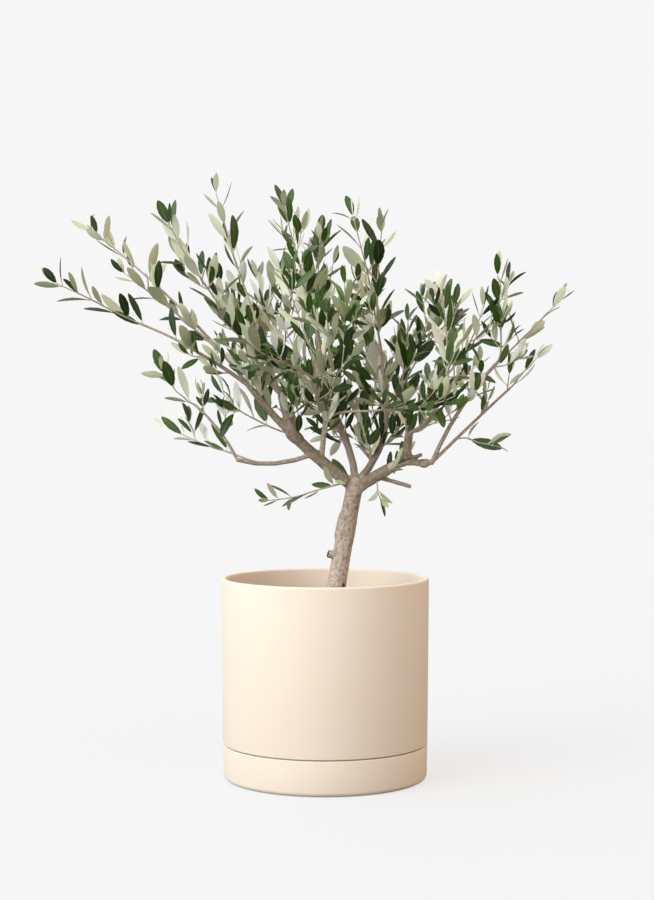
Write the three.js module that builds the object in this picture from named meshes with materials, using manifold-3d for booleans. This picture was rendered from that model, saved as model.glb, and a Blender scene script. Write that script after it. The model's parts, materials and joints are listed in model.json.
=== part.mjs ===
// Potted olive tree: a young olive with an open, wide crown, standing on its root ball in a
// straight-sided stoneware planter with a matching saucer.
// Millimetres, +Z up. The origin is the centre of the saucer's flat underside.
import * as THREE from "three";
import { mergeVertices } from "three/addons/utils/BufferGeometryUtils.js";
import Module from "manifold-3d";

const wasm = await Module();
wasm.setup();

// Clearance between neighbouring pieces, and how near two vertices lie to be one
const GAP = 0.3;
const WELD_DISTANCE = 1e-4;

// Planter and saucer
const RIM_RADIUS = 125;
const PLANTER_HEIGHT = 242;
const SEAM_HEIGHT = 43.5;
const SEAM_WIDTH = 1.5;
const BODY_TAPER = 1.7;
const WALL = 6;
const LIP_RADIUS = 2.6;
const FLOOR = 6;
const SAUCER_FLOOR = 5;
const SAUCER_WALL = 4.5;
const SAUCER_TAPER = 0.9;
const SAUCER_EDGE = 6;
const FOOT_RADIUS = 117;
const FOOT_WALL = 6;
const FOOT_CHAMFER = 2;
const EDGE_CHAMFER = 1;
const SHOULDER = 9;
const ROUND_SIDES = 40;
const CORNER_STEPS = 3;

// Root ball, seen as the soil surface inside the planter
const SOIL_DEPTH = 40;
const SOIL_TOP = PLANTER_HEIGHT - SOIL_DEPTH;
const SOIL_FLAT_RADIUS = 46;
const SOIL_FALL = 4;

// Trunk: centre of its foot at the soil, centre of its fork, and how far the middle bows from
// that line. The stem is first made a little longer below, then cut flat at the soil.
const TRUNK = {
  foot: [9, 0, SOIL_TOP],
  fork: [38, 2, 363],
  bend: [-1.4, 0, 0],
  belowCut: 8,
  base: 12.6,
  end: 10.4,
  flare: 7,
  flareHeight: 11,
  flareLobes: 5,
  flareDepth: 0.35,
  swelling: 0.9,
  swellingAt: 0.62,
  swellingLength: 0.08,
};
const TRUNK_SIDES = 12;
const TRUNK_STEPS = 12;

// Limbs: each grows from a place along an earlier one, given as a fraction of its length, to its
// own tip. bend moves its middle off the straight line, and radii are those of its two ends.
const LIMBS = {
  left_bough: { from: "trunk", at: 0.93, tip: [-42, -12, 417], bend: [-2, 0, -1], radii: [8.2, 6.5] },
  left_upper_bough: {
    from: "left_bough", at: 0.97, tip: [-92, -24, 474], bend: [-3, 0, 1], radii: [5.2, 3.6],
  },
  left_long_shoot: {
    from: "left_upper_bough", at: 0.97, tip: [-152, -40, 513], bend: [0, 0, 2], radii: [2.5, 2],
  },
  left_pruned_limb: {
    from: "left_bough", at: 0.95, tip: [-53, -14, 462], bend: [-1, 0, 0], radii: [5.2, 4.7],
  },
  left_inner_limb: { from: "left_bough", at: 0.5, tip: [2, -6, 449], radii: [3.6, 2.7] },
  lower_left_limb: {
    from: "left_bough", at: 0.62, tip: [-106, -30, 385], bend: [-2, 0, -8], radii: [3, 2.4],
  },
  lower_left_shoot: {
    from: "lower_left_limb", at: 0.98, tip: [-155, -40, 451], bend: [3, 0, 3], radii: [1.9, 1.4],
  },
  right_bough: { from: "trunk", at: 0.92, tip: [99, -10, 387], bend: [-1, 0, -1], radii: [8.2, 6.7] },
  right_upright_limb: {
    from: "right_bough", at: 0.95, tip: [101, -8, 426], bend: [1, 0, 0], radii: [5.6, 5],
  },
  right_outer_limb: {
    from: "right_bough", at: 0.94, tip: [129, -20, 382], bend: [0, 0, -3], radii: [5.2, 3.2],
  },
  right_long_limb: {
    from: "right_outer_limb", at: 0.95, tip: [207, -10, 502], bend: [-4, 0, 6], radii: [2.7, 2],
  },
  right_low_limb: {
    from: "right_outer_limb", at: 0.97, tip: [226, 20, 472], bend: [0, 0, 1], radii: [2, 1.4],
  },
  middle_left_bough: {
    from: "trunk", at: 0.96, tip: [-6, 45, 456], bend: [9, 0, 2], radii: [4.8, 3.8],
  },
  middle_right_bough: {
    from: "trunk", at: 0.95, tip: [74, 40, 417], bend: [3, 0, -4], radii: [4.8, 4.2],
  },
  back_left_bough: {
    from: "middle_left_bough", at: 0.4, tip: [8, 92, 447], bend: [4, 0, -4], radii: [3.6, 3],
  },
  back_right_bough: {
    from: "middle_right_bough", at: 0.6, tip: [78, 90, 442], bend: [0, 4, -4], radii: [3.6, 3],
  },
  front_limb: {
    from: "left_inner_limb", at: 0.85, tip: [-12, -95, 480], bend: [-3, 0, -6], radii: [2.4, 2],
  },
  front_right_limb: {
    from: "right_upright_limb", at: 0.75, tip: [133, -74, 454], bend: [2, 0, -6], radii: [2.6, 2],
  },
};
const LIMB_SIDES = 8;
const STEP_LENGTH = 24;
const FEWEST_STEPS = 3;

// Short cut-back stubs, each joined to the limb that it stands on
const STUBS = [
  { on: "trunk", at: 0.43, tip: [2.5, -3, 271], radius: 5.6 },
  { on: "right_bough", at: 0.42, tip: [104, 10, 351], radius: 3.4 },
  { on: "right_outer_limb", at: 0.1, tip: [116, -12, 391], radius: 2.6 },
  { on: "middle_right_bough", at: 0.5, tip: [42, 22, 400], radius: 2.7 },
];

// Foliage masses: each surrounds one leading shoot that springs from a limb and ends at tip.
// start is the fraction of the shoot below the mass, girth the usual radius around the shoot.
const MASSES = {
  far_left_spray: {
    from: "left_long_shoot", at: 1, tip: [-332, -75, 600], bend: [0, 0, 2], start: 0.02, girth: 24,
  },
  left_middle_spray: {
    from: "left_upper_bough", at: 1, tip: [-262, 24, 622], bend: [0, 0, 8], start: 0.3, girth: 30,
  },
  left_high_spray: {
    from: "left_upper_bough", at: 0.95, tip: [-308, 104, 680], bend: [0, 0, 12], start: 0.52, girth: 28,
  },
  left_crest_spray: {
    from: "left_pruned_limb", at: 1, tip: [-190, -90, 678], bend: [0, 0, -10], start: 0.45, girth: 34,
  },
  left_shoulder_spray: {
    from: "left_pruned_limb", at: 0.95, tip: [-128, -62, 590], bend: [-8, 0, 0], start: 0.2, girth: 36,
  },
  tall_spray: {
    from: "left_pruned_limb", at: 1, tip: [-140, 50, 731], start: 0.5, girth: 27,
  },
  tall_foot_spray: {
    from: "middle_left_bough", at: 1, tip: [-88, 62, 628], bend: [-10, 0, 0], start: 0.3, girth: 38,
  },
  crest_spray: {
    from: "left_inner_limb", at: 1, tip: [-54, -35, 706], bend: [4, 0, 0], start: 0.42, girth: 34,
  },
  crest_front_spray: {
    from: "front_limb", at: 1, tip: [-62, -74, 626], bend: [8, 0, 0], start: 0.3, girth: 32,
  },
  centre_spray: {
    from: "middle_left_bough", at: 1, tip: [-6, 42, 680], start: 0.45, girth: 33,
  },
  right_crest_spray: {
    from: "middle_right_bough", at: 1, tip: [28, 58, 704], bend: [10, 0, 0], start: 0.45, girth: 31,
  },
  right_crest_front_spray: {
    from: "middle_right_bough", at: 1, tip: [70, -35, 684], bend: [-8, 0, 0], start: 0.45, girth: 28,
  },
  centre_front_spray: {
    from: "left_inner_limb", at: 1, tip: [20, -82, 610], bend: [10, 0, 0], start: 0.3, girth: 32,
  },
  low_front_spray: {
    from: "front_limb", at: 1, tip: [-6, -166, 572], bend: [10, 0, -10], start: 0.12, girth: 34,
  },
  middle_left_spray: {
    from: "left_inner_limb", at: 1, tip: [-62, 8, 566], start: 0.15, girth: 38,
  },
  middle_right_spray: {
    from: "middle_right_bough", at: 1, tip: [28, 66, 566], bend: [8, 0, 0], start: 0.2, girth: 38,
  },
  right_front_spray: {
    from: "front_right_limb", at: 1, tip: [130, -74, 604], bend: [10, 0, 0], start: 0.12, girth: 32,
  },
  near_right_spray: {
    from: "left_inner_limb", at: 0.7, tip: [160, -162, 466], bend: [0, 0, -8], start: 0.42, girth: 32,
  },
  centre_right_spray: {
    from: "middle_right_bough", at: 1, tip: [100, 8, 572], bend: [8, 0, 0], start: 0.25, girth: 36,
  },
  right_middle_spray: {
    from: "right_upright_limb", at: 1, tip: [196, 6, 590], bend: [14, 0, -4], start: 0.25, girth: 38,
  },
  right_high_spray: {
    from: "right_long_limb", at: 1, tip: [206, 6, 629], start: 0.12, girth: 35,
  },
  right_outer_spray: {
    from: "right_long_limb", at: 1, tip: [300, 30, 592], bend: [4, 0, 2], start: 0.25, girth: 19,
  },
  low_right_spray: {
    from: "right_low_limb", at: 1, tip: [270, 32, 522], start: 0.05, girth: 18,
  },
  lower_right_spray: {
    from: "right_low_limb", at: 0.28, tip: [216, -42, 396], bend: [0, 0, 3], start: 0.25, girth: 13,
  },
  lower_left_spray: {
    from: "lower_left_shoot", at: 1, tip: [-196, -52, 510], bend: [-6, 0, -4], start: 0, girth: 30,
  },
  lower_left_back_spray: {
    from: "lower_left_limb", at: 0.6, tip: [-204, 22, 428], bend: [0, 0, -4], start: 0.35, girth: 24,
  },
  inner_left_spray: {
    from: "left_bough", at: 0.96, tip: [-134, -44, 482], bend: [-5, 0, -12], start: 0.3, girth: 24,
  },
  low_spray: {
    from: "trunk", at: 0.96, tip: [-84, -46, 336], bend: [0, 0, -3], start: 0.1, girth: 18,
  },
  low_centre_spray: {
    from: "middle_right_bough", at: 0.4, tip: [26, 84, 470], bend: [8, 0, 0], start: 0.2, girth: 26,
  },
  fork_spray: {
    from: "right_bough", at: 0.3, tip: [72, -24, 325], start: 0.4, girth: 12,
  },
  back_left_spray: {
    from: "back_left_bough", at: 1, tip: [-128, 152, 598], bend: [-4, 4, -6], start: 0.22, girth: 40,
  },
  back_left_low_spray: {
    from: "back_left_bough", at: 0.95, tip: [-96, 198, 506], bend: [0, 4, -8], start: 0.22, girth: 34,
  },
  back_high_spray: {
    from: "back_left_bough", at: 1, tip: [-24, 128, 660], bend: [0, 6, 0], start: 0.32, girth: 38,
  },
  back_centre_spray: {
    from: "back_right_bough", at: 1, tip: [46, 208, 572], bend: [0, 8, -6], start: 0.22, girth: 38,
  },
  back_right_spray: {
    from: "back_right_bough", at: 1, tip: [152, 140, 596], bend: [6, 6, -6], start: 0.22, girth: 40,
  },
  back_right_low_spray: {
    from: "back_right_bough", at: 0.95, tip: [188, 164, 492], bend: [4, 4, -8], start: 0.22, girth: 32,
  },
  front_left_spray: {
    from: "front_limb", at: 1, tip: [-128, -196, 560], bend: [-6, -6, -8], start: 0.2, girth: 36,
  },
  front_spray: {
    from: "front_limb", at: 0.95, tip: [34, -232, 512], bend: [0, -6, -8], start: 0.25, girth: 30,
  },
};
const MASS_SIDES = 8;
const MASS_RINGS = 7;
const UNEVENNESS = 0.2;
const LOBE_TURN = 2.4;
// The widest place lies past the middle for a lean over 1, and the ends are blunter below 1
const SPINDLE_LEAN = 1.25;
const SPINDLE_BLUNTNESS = 0.55;

const COLOURS = {
  stoneware: { color: 0xf3e2ca, roughness: 0.75, metalness: 0 },
  soil: { color: 0x4a3628, roughness: 1, metalness: 0 },
  bark: { color: 0xa08c76, roughness: 0.9, metalness: 0 },
  foliage: { color: 0x55694c, roughness: 0.6, metalness: 0 },
};

const vector = (place = [0, 0, 0]) => new THREE.Vector3(...place);

// A stretch of another curve, between two fractions of it
class Stretch extends THREE.Curve {
  constructor(whole, from, to) {
    super();
    this.whole = whole;
    this.from = from;
    this.to = to;
  }

  getPoint(fraction, target = new THREE.Vector3()) {
    return this.whole.getPoint(this.from + (this.to - this.from) * fraction, target);
  }
}

// A line from start to tip whose middle is moved off the straight by bend
function bowedLine(start, tip, bend) {
  const middle = start.clone().add(tip).multiplyScalar(0.5).addScaledVector(bend, 2);
  return new THREE.QuadraticBezierCurve3(start, middle, tip);
}

// Lays the rings of an upright unit shape along a curve. radiusAt(fraction, angle) sizes each
// ring, grow widens the shape all over, and ringOf tells a vertex's ring from its height.
function layAlong(geometry, curve, rings, ringOf, radiusAt, grow) {
  const frames = curve.computeFrenetFrames(rings);
  const places = geometry.getAttribute("position");
  for (let i = 0; i < places.count; i += 1) {
    const ring = ringOf(places.getY(i));
    const across = Math.hypot(places.getX(i), places.getZ(i)) > WELD_DISTANCE ? 1 : 0;
    const angle = Math.atan2(places.getZ(i), places.getX(i));
    const radius = across * (radiusAt(ring / rings, angle) + grow);
    const side = new THREE.Vector3().crossVectors(frames.normals[ring], frames.tangents[ring]);
    const place = curve.getPointAt(ring / rings);
    place.addScaledVector(frames.normals[ring], radius * Math.cos(angle));
    place.addScaledVector(side, radius * Math.sin(angle));
    if (ring === 0) {
      place.addScaledVector(frames.tangents[ring], -grow);
    }
    if (ring === rings) {
      place.addScaledVector(frames.tangents[ring], grow);
    }
    places.setXYZ(i, place.x, place.y, place.z);
  }
  return geometry;
}

// A closed tapering limb along a curve
function limbGeometry(curve, radiusAt, sides, steps, grow) {
  const geometry = new THREE.CylinderGeometry(1, 1, 1, sides, steps);
  const ringOf = (height) => Math.round((height + 0.5) * steps);
  return layAlong(geometry, curve, steps, ringOf, radiusAt, grow);
}

// A closed spindle along a curve, its ends drawn in to points
function spindleGeometry(curve, radiusAt, grow) {
  const geometry = new THREE.SphereGeometry(1, MASS_SIDES, MASS_RINGS);
  geometry.rotateX(Math.PI);
  const ringOf = (height) => {
    const fromBase = Math.acos(THREE.MathUtils.clamp(-height, -1, 1));
    return Math.round((fromBase / Math.PI) * MASS_RINGS);
  };
  return layAlong(geometry, curve, MASS_RINGS, ringOf, radiusAt, grow);
}

// A closed geometry as a solid that can be cut and joined
function solidOf(geometry) {
  geometry.deleteAttribute("normal");
  geometry.deleteAttribute("uv");
  const merged = mergeVertices(geometry, WELD_DISTANCE);
  const mesh = new wasm.Mesh({
    numProp: 3,
    vertProperties: new Float32Array(merged.getAttribute("position").array),
    triVerts: new Uint32Array(merged.index.array),
  });
  return new wasm.Manifold(mesh);
}

// A solid back as a geometry with flat faces
function geometryOf(solid) {
  const mesh = solid.getMesh();
  const geometry = new THREE.BufferGeometry();
  geometry.setAttribute("position", new THREE.BufferAttribute(mesh.vertProperties, 3));
  geometry.setIndex(new THREE.BufferAttribute(mesh.triVerts, 1));
  geometry.computeVertexNormals();
  return geometry;
}

function boxesMeet(a, b) {
  const boxA = a.boundingBox();
  const boxB = b.boundingBox();
  return [0, 1, 2].every((axis) => boxA.min[axis] <= boxB.max[axis] && boxB.min[axis] <= boxA.max[axis]);
}

// The solid with a clearance cut round each neighbour that it reaches, as one body
function cutClear(solid, neighbours) {
  let left = solid;
  for (const neighbour of neighbours) {
    if (boxesMeet(left, neighbour)) {
      left = left.subtract(neighbour);
    }
  }
  const bodies = left.decompose();
  bodies.sort((a, b) => b.volume() - a.volume());
  return bodies[0];
}

function makeMesh(name, geometry, finish) {
  const mesh = new THREE.Mesh(geometry, new THREE.MeshStandardMaterial(finish));
  mesh.name = name;
  return mesh;
}

// Points of a quarter-round corner in a lathe profile, from one angle to another
function corner(radius, height, size, fromAngle, toAngle) {
  const points = [];
  for (let i = 0; i <= CORNER_STEPS; i += 1) {
    const angle = THREE.MathUtils.lerp(fromAngle, toAngle, i / CORNER_STEPS);
    points.push(new THREE.Vector2(radius + size * Math.cos(angle), height + size * Math.sin(angle)));
  }
  return points;
}

// A solid of revolution about +Z from a profile of (radius, height) that starts and ends on the axis
function turned(profile) {
  return new THREE.LatheGeometry(profile, ROUND_SIDES).rotateX(Math.PI / 2);
}

const planterRadius = (height) => (
  RIM_RADIUS - BODY_TAPER * (PLANTER_HEIGHT - height) / (PLANTER_HEIGHT - SEAM_HEIGHT)
);

const PLANTER_FLOOR_TOP = SAUCER_FLOOR + GAP + FLOOR;
const SHOULDER_TOP = SEAM_HEIGHT + SHOULDER;

function saucer() {
  const topRadius = planterRadius(SEAM_HEIGHT);
  const baseRadius = topRadius - SAUCER_TAPER;
  const top = SEAM_HEIGHT - SEAM_WIDTH;
  const inner = topRadius - SAUCER_WALL;
  const profile = [
    new THREE.Vector2(0, 0),
    ...corner(baseRadius - SAUCER_EDGE, SAUCER_EDGE, SAUCER_EDGE, -Math.PI / 2, 0),
    new THREE.Vector2(topRadius, top - EDGE_CHAMFER),
    new THREE.Vector2(topRadius - EDGE_CHAMFER, top),
    new THREE.Vector2(inner, top),
    new THREE.Vector2(inner, SAUCER_FLOOR),
    new THREE.Vector2(0, SAUCER_FLOOR),
  ];
  return makeMesh("saucer", turned(profile), COLOURS.stoneware);
}

function planter() {
  const foot = SAUCER_FLOOR + GAP;
  const lipHeight = PLANTER_HEIGHT - LIP_RADIUS;
  const profile = [
    new THREE.Vector2(0, foot),
    new THREE.Vector2(FOOT_RADIUS - FOOT_CHAMFER, foot),
    new THREE.Vector2(FOOT_RADIUS, foot + FOOT_CHAMFER),
    new THREE.Vector2(FOOT_RADIUS, SEAM_HEIGHT),
    new THREE.Vector2(planterRadius(SEAM_HEIGHT) - EDGE_CHAMFER, SEAM_HEIGHT),
    new THREE.Vector2(planterRadius(SEAM_HEIGHT), SEAM_HEIGHT + EDGE_CHAMFER),
    ...corner(RIM_RADIUS - LIP_RADIUS, lipHeight, LIP_RADIUS, 0, Math.PI / 2),
    ...corner(RIM_RADIUS - WALL + LIP_RADIUS, lipHeight, LIP_RADIUS, Math.PI / 2, Math.PI),
    new THREE.Vector2(planterRadius(SHOULDER_TOP) - WALL, SHOULDER_TOP),
    new THREE.Vector2(FOOT_RADIUS - FOOT_WALL, SEAM_HEIGHT),
    new THREE.Vector2(FOOT_RADIUS - FOOT_WALL, PLANTER_FLOOR_TOP),
    new THREE.Vector2(0, PLANTER_FLOOR_TOP),
  ];
  return makeMesh("planter", turned(profile), COLOURS.stoneware);
}

// The root ball fills the planter, flat round the trunk and falling a little towards the wall
function rootBall() {
  const edge = SOIL_TOP - SOIL_FALL;
  const profile = [
    new THREE.Vector2(0, PLANTER_FLOOR_TOP + GAP),
    new THREE.Vector2(FOOT_RADIUS - FOOT_WALL - GAP, PLANTER_FLOOR_TOP + GAP),
    new THREE.Vector2(FOOT_RADIUS - FOOT_WALL - GAP, SEAM_HEIGHT),
    new THREE.Vector2(planterRadius(SHOULDER_TOP) - WALL - GAP, SHOULDER_TOP + GAP),
    new THREE.Vector2(planterRadius(edge) - WALL - GAP, edge),
    new THREE.Vector2(SOIL_FLAT_RADIUS, SOIL_TOP),
    new THREE.Vector2(0, SOIL_TOP),
  ];
  return makeMesh("root_ball", turned(profile), COLOURS.soil);
}

// The trunk's radius: a plain taper, a low swelling at mid height and a lobed flare at the foot
function trunkRadius(fraction, angle) {
  const taper = THREE.MathUtils.lerp(TRUNK.base, TRUNK.end, fraction);
  const fromSwelling = (fraction - TRUNK.swellingAt) / TRUNK.swellingLength;
  const swelling = TRUNK.swelling * Math.exp(-(fromSwelling ** 2));
  const length = vector(TRUNK.fork).distanceTo(vector(TRUNK.foot)) + TRUNK.belowCut;
  const height = Math.max(0, fraction * length - TRUNK.belowCut);
  const flare = TRUNK.flare * Math.exp(-height / TRUNK.flareHeight);
  return taper + swelling + flare * (1 + TRUNK.flareDepth * Math.cos(TRUNK.flareLobes * angle));
}

// A plan is a piece's name, its centre line, and a build(grow) that gives its geometry with the
// radius widened by grow
function trunkPlan() {
  const foot = vector(TRUNK.foot);
  const fork = vector(TRUNK.fork);
  const down = foot.clone().sub(fork).setLength(TRUNK.belowCut);
  const curve = bowedLine(foot.add(down), fork, vector(TRUNK.bend));
  const build = (grow) => limbGeometry(curve, trunkRadius, TRUNK_SIDES, TRUNK_STEPS, grow);
  return { name: "trunk", curve, build };
}

function limbPlan(name, limb, curves) {
  const start = curves.get(limb.from).getPoint(limb.at);
  const curve = bowedLine(start, vector(limb.tip), vector(limb.bend));
  const radiusAt = (fraction) => THREE.MathUtils.lerp(...limb.radii, fraction);
  const steps = Math.max(FEWEST_STEPS, Math.round(curve.getLength() / STEP_LENGTH));
  const build = (grow) => limbGeometry(curve, radiusAt, LIMB_SIDES, steps, grow);
  return { name, curve, build };
}

// A foliage mass is a spindle round its shoot, widest past the middle, with uneven sides. order
// turns the unevenness differently on each mass.
function massPlan(name, mass, order, curves) {
  const start = curves.get(mass.from).getPoint(mass.at);
  const shoot = bowedLine(start, vector(mass.tip), vector(mass.bend));
  const curve = new Stretch(shoot, mass.start, 1);
  const turn = order * LOBE_TURN;
  const radiusAt = (fraction, angle) => {
    const spindle = Math.sin(Math.PI * fraction ** SPINDLE_LEAN) ** SPINDLE_BLUNTNESS;
    const lobes = Math.sin(2 * angle + turn + 3 * fraction) + Math.sin(3 * angle - turn + 7 * fraction);
    return mass.girth * spindle * (1 + (UNEVENNESS / 2) * lobes);
  };
  const build = (grow) => spindleGeometry(curve, radiusAt, grow);
  return { name, curve, build };
}

// The stubs that stand on a limb, joined to its solid
function withStubs(solid, limbName, curves, grow) {
  let joined = solid;
  for (const stub of STUBS.filter((each) => each.on === limbName)) {
    const start = curves.get(limbName).getPoint(stub.at);
    const curve = bowedLine(start, vector(stub.tip), vector());
    const stubSolid = solidOf(limbGeometry(curve, () => stub.radius, LIMB_SIDES, 1, grow));
    joined = joined.add(stubSolid);
  }
  return joined;
}

// Builds the plant from the ground up: each piece keeps clear of all that came before it
function plant() {
  const curves = new Map();
  const grown = [];
  const meshes = [];
  const place = (plan, finish) => {
    curves.set(plan.name, plan.curve);
    const whole = withStubs(solidOf(plan.build(0)), plan.name, curves, 0);
    const clear = withStubs(solidOf(plan.build(GAP)), plan.name, curves, GAP);
    const aboveGround = whole.trimByPlane([0, 0, 1], SOIL_TOP + GAP);
    meshes.push(makeMesh(plan.name, geometryOf(cutClear(aboveGround, grown)), finish));
    grown.push(clear);
  };
  place(trunkPlan(), COLOURS.bark);
  for (const [name, limb] of Object.entries(LIMBS)) {
    place(limbPlan(name, limb, curves), COLOURS.bark);
  }
  Object.entries(MASSES).forEach(([name, mass], order) => {
    place(massPlan(name, mass, order, curves), COLOURS.foliage);
  });
  return meshes;
}

const pottedOlive = new THREE.Group();
pottedOlive.add(saucer(), planter(), rootBall(), ...plant());

export default pottedOlive;
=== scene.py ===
"""Potted olive tree: a young olive on one leaning trunk, in a stoneware planter on its saucer.

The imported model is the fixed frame. The planter, saucer and soil are turned and shaped round its
nodes, the trunk and boughs are its limbs grown together under real bark, and every foliage mass
is replaced by a leading shoot with side shoots, twigs and leaf pairs that grow on from its limb.
"""

from __future__ import annotations

import json
import logging
import math
from collections.abc import Callable, Iterable, Sequence
from dataclasses import dataclass, field
from enum import Enum

import bmesh
import bpy
import numpy as np
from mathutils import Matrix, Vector, noise
from mathutils.bvhtree import BVHTree
from mathutils.kdtree import KDTree

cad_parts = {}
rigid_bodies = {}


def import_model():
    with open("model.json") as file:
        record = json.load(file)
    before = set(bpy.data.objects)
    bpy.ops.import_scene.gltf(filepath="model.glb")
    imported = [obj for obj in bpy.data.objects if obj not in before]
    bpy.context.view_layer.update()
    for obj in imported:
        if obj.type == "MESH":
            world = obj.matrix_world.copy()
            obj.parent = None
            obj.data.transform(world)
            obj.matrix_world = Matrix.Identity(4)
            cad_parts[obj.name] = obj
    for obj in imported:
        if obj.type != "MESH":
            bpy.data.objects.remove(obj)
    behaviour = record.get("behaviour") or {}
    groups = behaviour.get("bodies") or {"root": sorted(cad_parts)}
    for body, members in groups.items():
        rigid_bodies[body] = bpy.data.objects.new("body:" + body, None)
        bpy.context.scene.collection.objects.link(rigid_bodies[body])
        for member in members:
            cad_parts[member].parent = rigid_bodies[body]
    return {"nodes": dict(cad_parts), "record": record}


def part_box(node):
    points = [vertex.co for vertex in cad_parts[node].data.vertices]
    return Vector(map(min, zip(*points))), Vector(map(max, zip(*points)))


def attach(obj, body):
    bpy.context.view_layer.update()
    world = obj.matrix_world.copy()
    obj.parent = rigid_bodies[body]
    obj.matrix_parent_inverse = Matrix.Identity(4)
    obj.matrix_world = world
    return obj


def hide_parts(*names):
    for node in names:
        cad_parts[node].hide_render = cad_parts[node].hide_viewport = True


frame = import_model()

LOG = logging.getLogger("potted_olive")
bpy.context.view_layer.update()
BODY = "root"
MM = 0.001
SEED = 20
NEAR_BY = 3 * MM
UP = np.array((0.0, 0.0, 1.0))


# ---------------------------------------------------------------------------------------------
# Small helpers for modelling
# ---------------------------------------------------------------------------------------------


def deselect_all() -> None:
    """Leaves nothing selected and no object active."""
    for each in bpy.context.view_layer.objects:
        each.select_set(False)
    bpy.context.view_layer.objects.active = None


def only(piece: bpy.types.Object) -> bpy.types.Object:
    """Makes one piece the only selected and the active one.

    Args:
        piece: The piece to work on.

    Returns:
        The same piece.
    """
    deselect_all()
    piece.select_set(True)
    bpy.context.view_layer.objects.active = piece
    return piece


def join(pieces: Sequence[bpy.types.Object], name: str) -> bpy.types.Object:
    """Joins several mesh objects into the first of them.

    Args:
        pieces: The objects to join.
        name: The joined piece's name.

    Returns:
        The joined piece.
    """
    only(pieces[0])
    for piece in pieces[1:]:
        piece.select_set(True)
    bpy.ops.object.join()
    pieces[0].name = name
    return pieces[0]


def modify(piece: bpy.types.Object, kind: str, **settings: object) -> None:
    """Adds one modifier to a piece and applies it at once.

    Args:
        piece: The piece to change.
        kind: The modifier's type.
        **settings: The modifier's own values.
    """
    only(piece)
    modifier = piece.modifiers.new(kind.lower(), kind)
    for key, value in settings.items():
        setattr(modifier, key, value)
    bpy.ops.object.modifier_apply(modifier=modifier.name)


def select_edges(piece: bpy.types.Object, wanted: Callable[[Vector, Vector], bool]) -> None:
    """Selects, in edit mode, just the edges that a test picks by the places of their two ends.

    Args:
        piece: The piece that is in edit mode.
        wanted: Says whether an edge between two places is selected.
    """
    bpy.ops.mesh.select_mode(type="EDGE")
    bpy.ops.mesh.select_all(action="DESELECT")
    mesh = bmesh.from_edit_mesh(piece.data)
    for edge in mesh.edges:
        edge.select_set(wanted(edge.verts[0].co, edge.verts[1].co))
    bmesh.update_edit_mesh(piece.data)


def select_verts(piece: bpy.types.Object, wanted: Callable[[Vector], bool]) -> None:
    """Selects, in edit mode, just the points that a test picks by their place.

    Args:
        piece: The piece that is in edit mode.
        wanted: Says whether a point at a place is selected.
    """
    bpy.ops.mesh.select_mode(type="VERT")
    bpy.ops.mesh.select_all(action="DESELECT")
    mesh = bmesh.from_edit_mesh(piece.data)
    for point in mesh.verts:
        point.select_set(wanted(point.co))
    bmesh.update_edit_mesh(piece.data)


def settle(piece: bpy.types.Object, nodes: Iterable[str]) -> None:
    """Makes a finished piece ride on the body and stand for its nodes.

    Args:
        piece: The finished piece.
        nodes: The nodes of the frame that the piece stands for.
    """
    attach(piece, BODY)
    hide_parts(*nodes)
    triangles = sum(len(face.vertices) - 2 for face in piece.data.polygons)
    LOG.info("%s: %d triangles", piece.name, triangles)


def nodes_of(slot: str) -> list[str]:
    """Names the frame's nodes that take one material slot.

    Args:
        slot: The record's material slot.

    Returns:
        The nodes' names, in the record's order.
    """
    return [part["node"] for part in frame["record"]["subparts"] if part["material_slot"] == slot]


def points_of(node: str) -> np.ndarray:
    """Reads the places of a node's vertices.

    Args:
        node: The node's name.

    Returns:
        An array of places, one row each, in metres.
    """
    mesh = frame["nodes"][node].data
    places = np.empty(len(mesh.vertices) * 3)
    mesh.vertices.foreach_get("co", places)
    return places.reshape(-1, 3)


def piece_of(
    name: str, points: Sequence[np.ndarray], faces: Sequence[Sequence[int]]
) -> bpy.types.Object:
    """Makes a piece of points and faces that are laid out in code.

    Args:
        name: The piece's name.
        points: Arrays of places, one row each, in metres.
        faces: Each face's corners, counted through all the points.

    Returns:
        The piece, selected and active.
    """
    mesh = bpy.data.meshes.new(name)
    mesh.from_pydata(np.concatenate(points).tolist(), [], faces)
    piece = bpy.data.objects.new(name, mesh)
    bpy.context.scene.collection.objects.link(piece)
    return only(piece)


def interpolated(distance: float, steps: np.ndarray, places: np.ndarray) -> np.ndarray:
    """Reads a place between the rows of an array.

    Args:
        distance: Where to read.
        steps: The distance of each row.
        places: One place in each row.

    Returns:
        The place.
    """
    return np.array([np.interp(distance, steps, places[:, axis]) for axis in range(3)])


def unit(direction: np.ndarray) -> np.ndarray:
    """Scales a direction to length one."""
    return direction / max(float(np.linalg.norm(direction)), 1e-12)


def turned_about(direction: np.ndarray, axis: np.ndarray, angle: float) -> np.ndarray:
    """Turns a direction about an axis.

    Args:
        direction: The direction to turn.
        axis: The axis, of length one.
        angle: The angle in radians.

    Returns:
        The turned direction.
    """
    across = np.cross(axis, direction)
    along = axis * float(np.dot(axis, direction))
    return direction * math.cos(angle) + across * math.sin(angle) + along * (1 - math.cos(angle))


def side_of(direction: np.ndarray) -> np.ndarray:
    """Gives some direction of length one that is square to another."""
    helper = UP if abs(direction[2]) < 0.9 else np.array((1.0, 0.0, 0.0))
    return unit(np.cross(direction, helper))


# ---------------------------------------------------------------------------------------------
# Finishes
# ---------------------------------------------------------------------------------------------

Colour = tuple[float, float, float]
Span = tuple[float, float]


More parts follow.
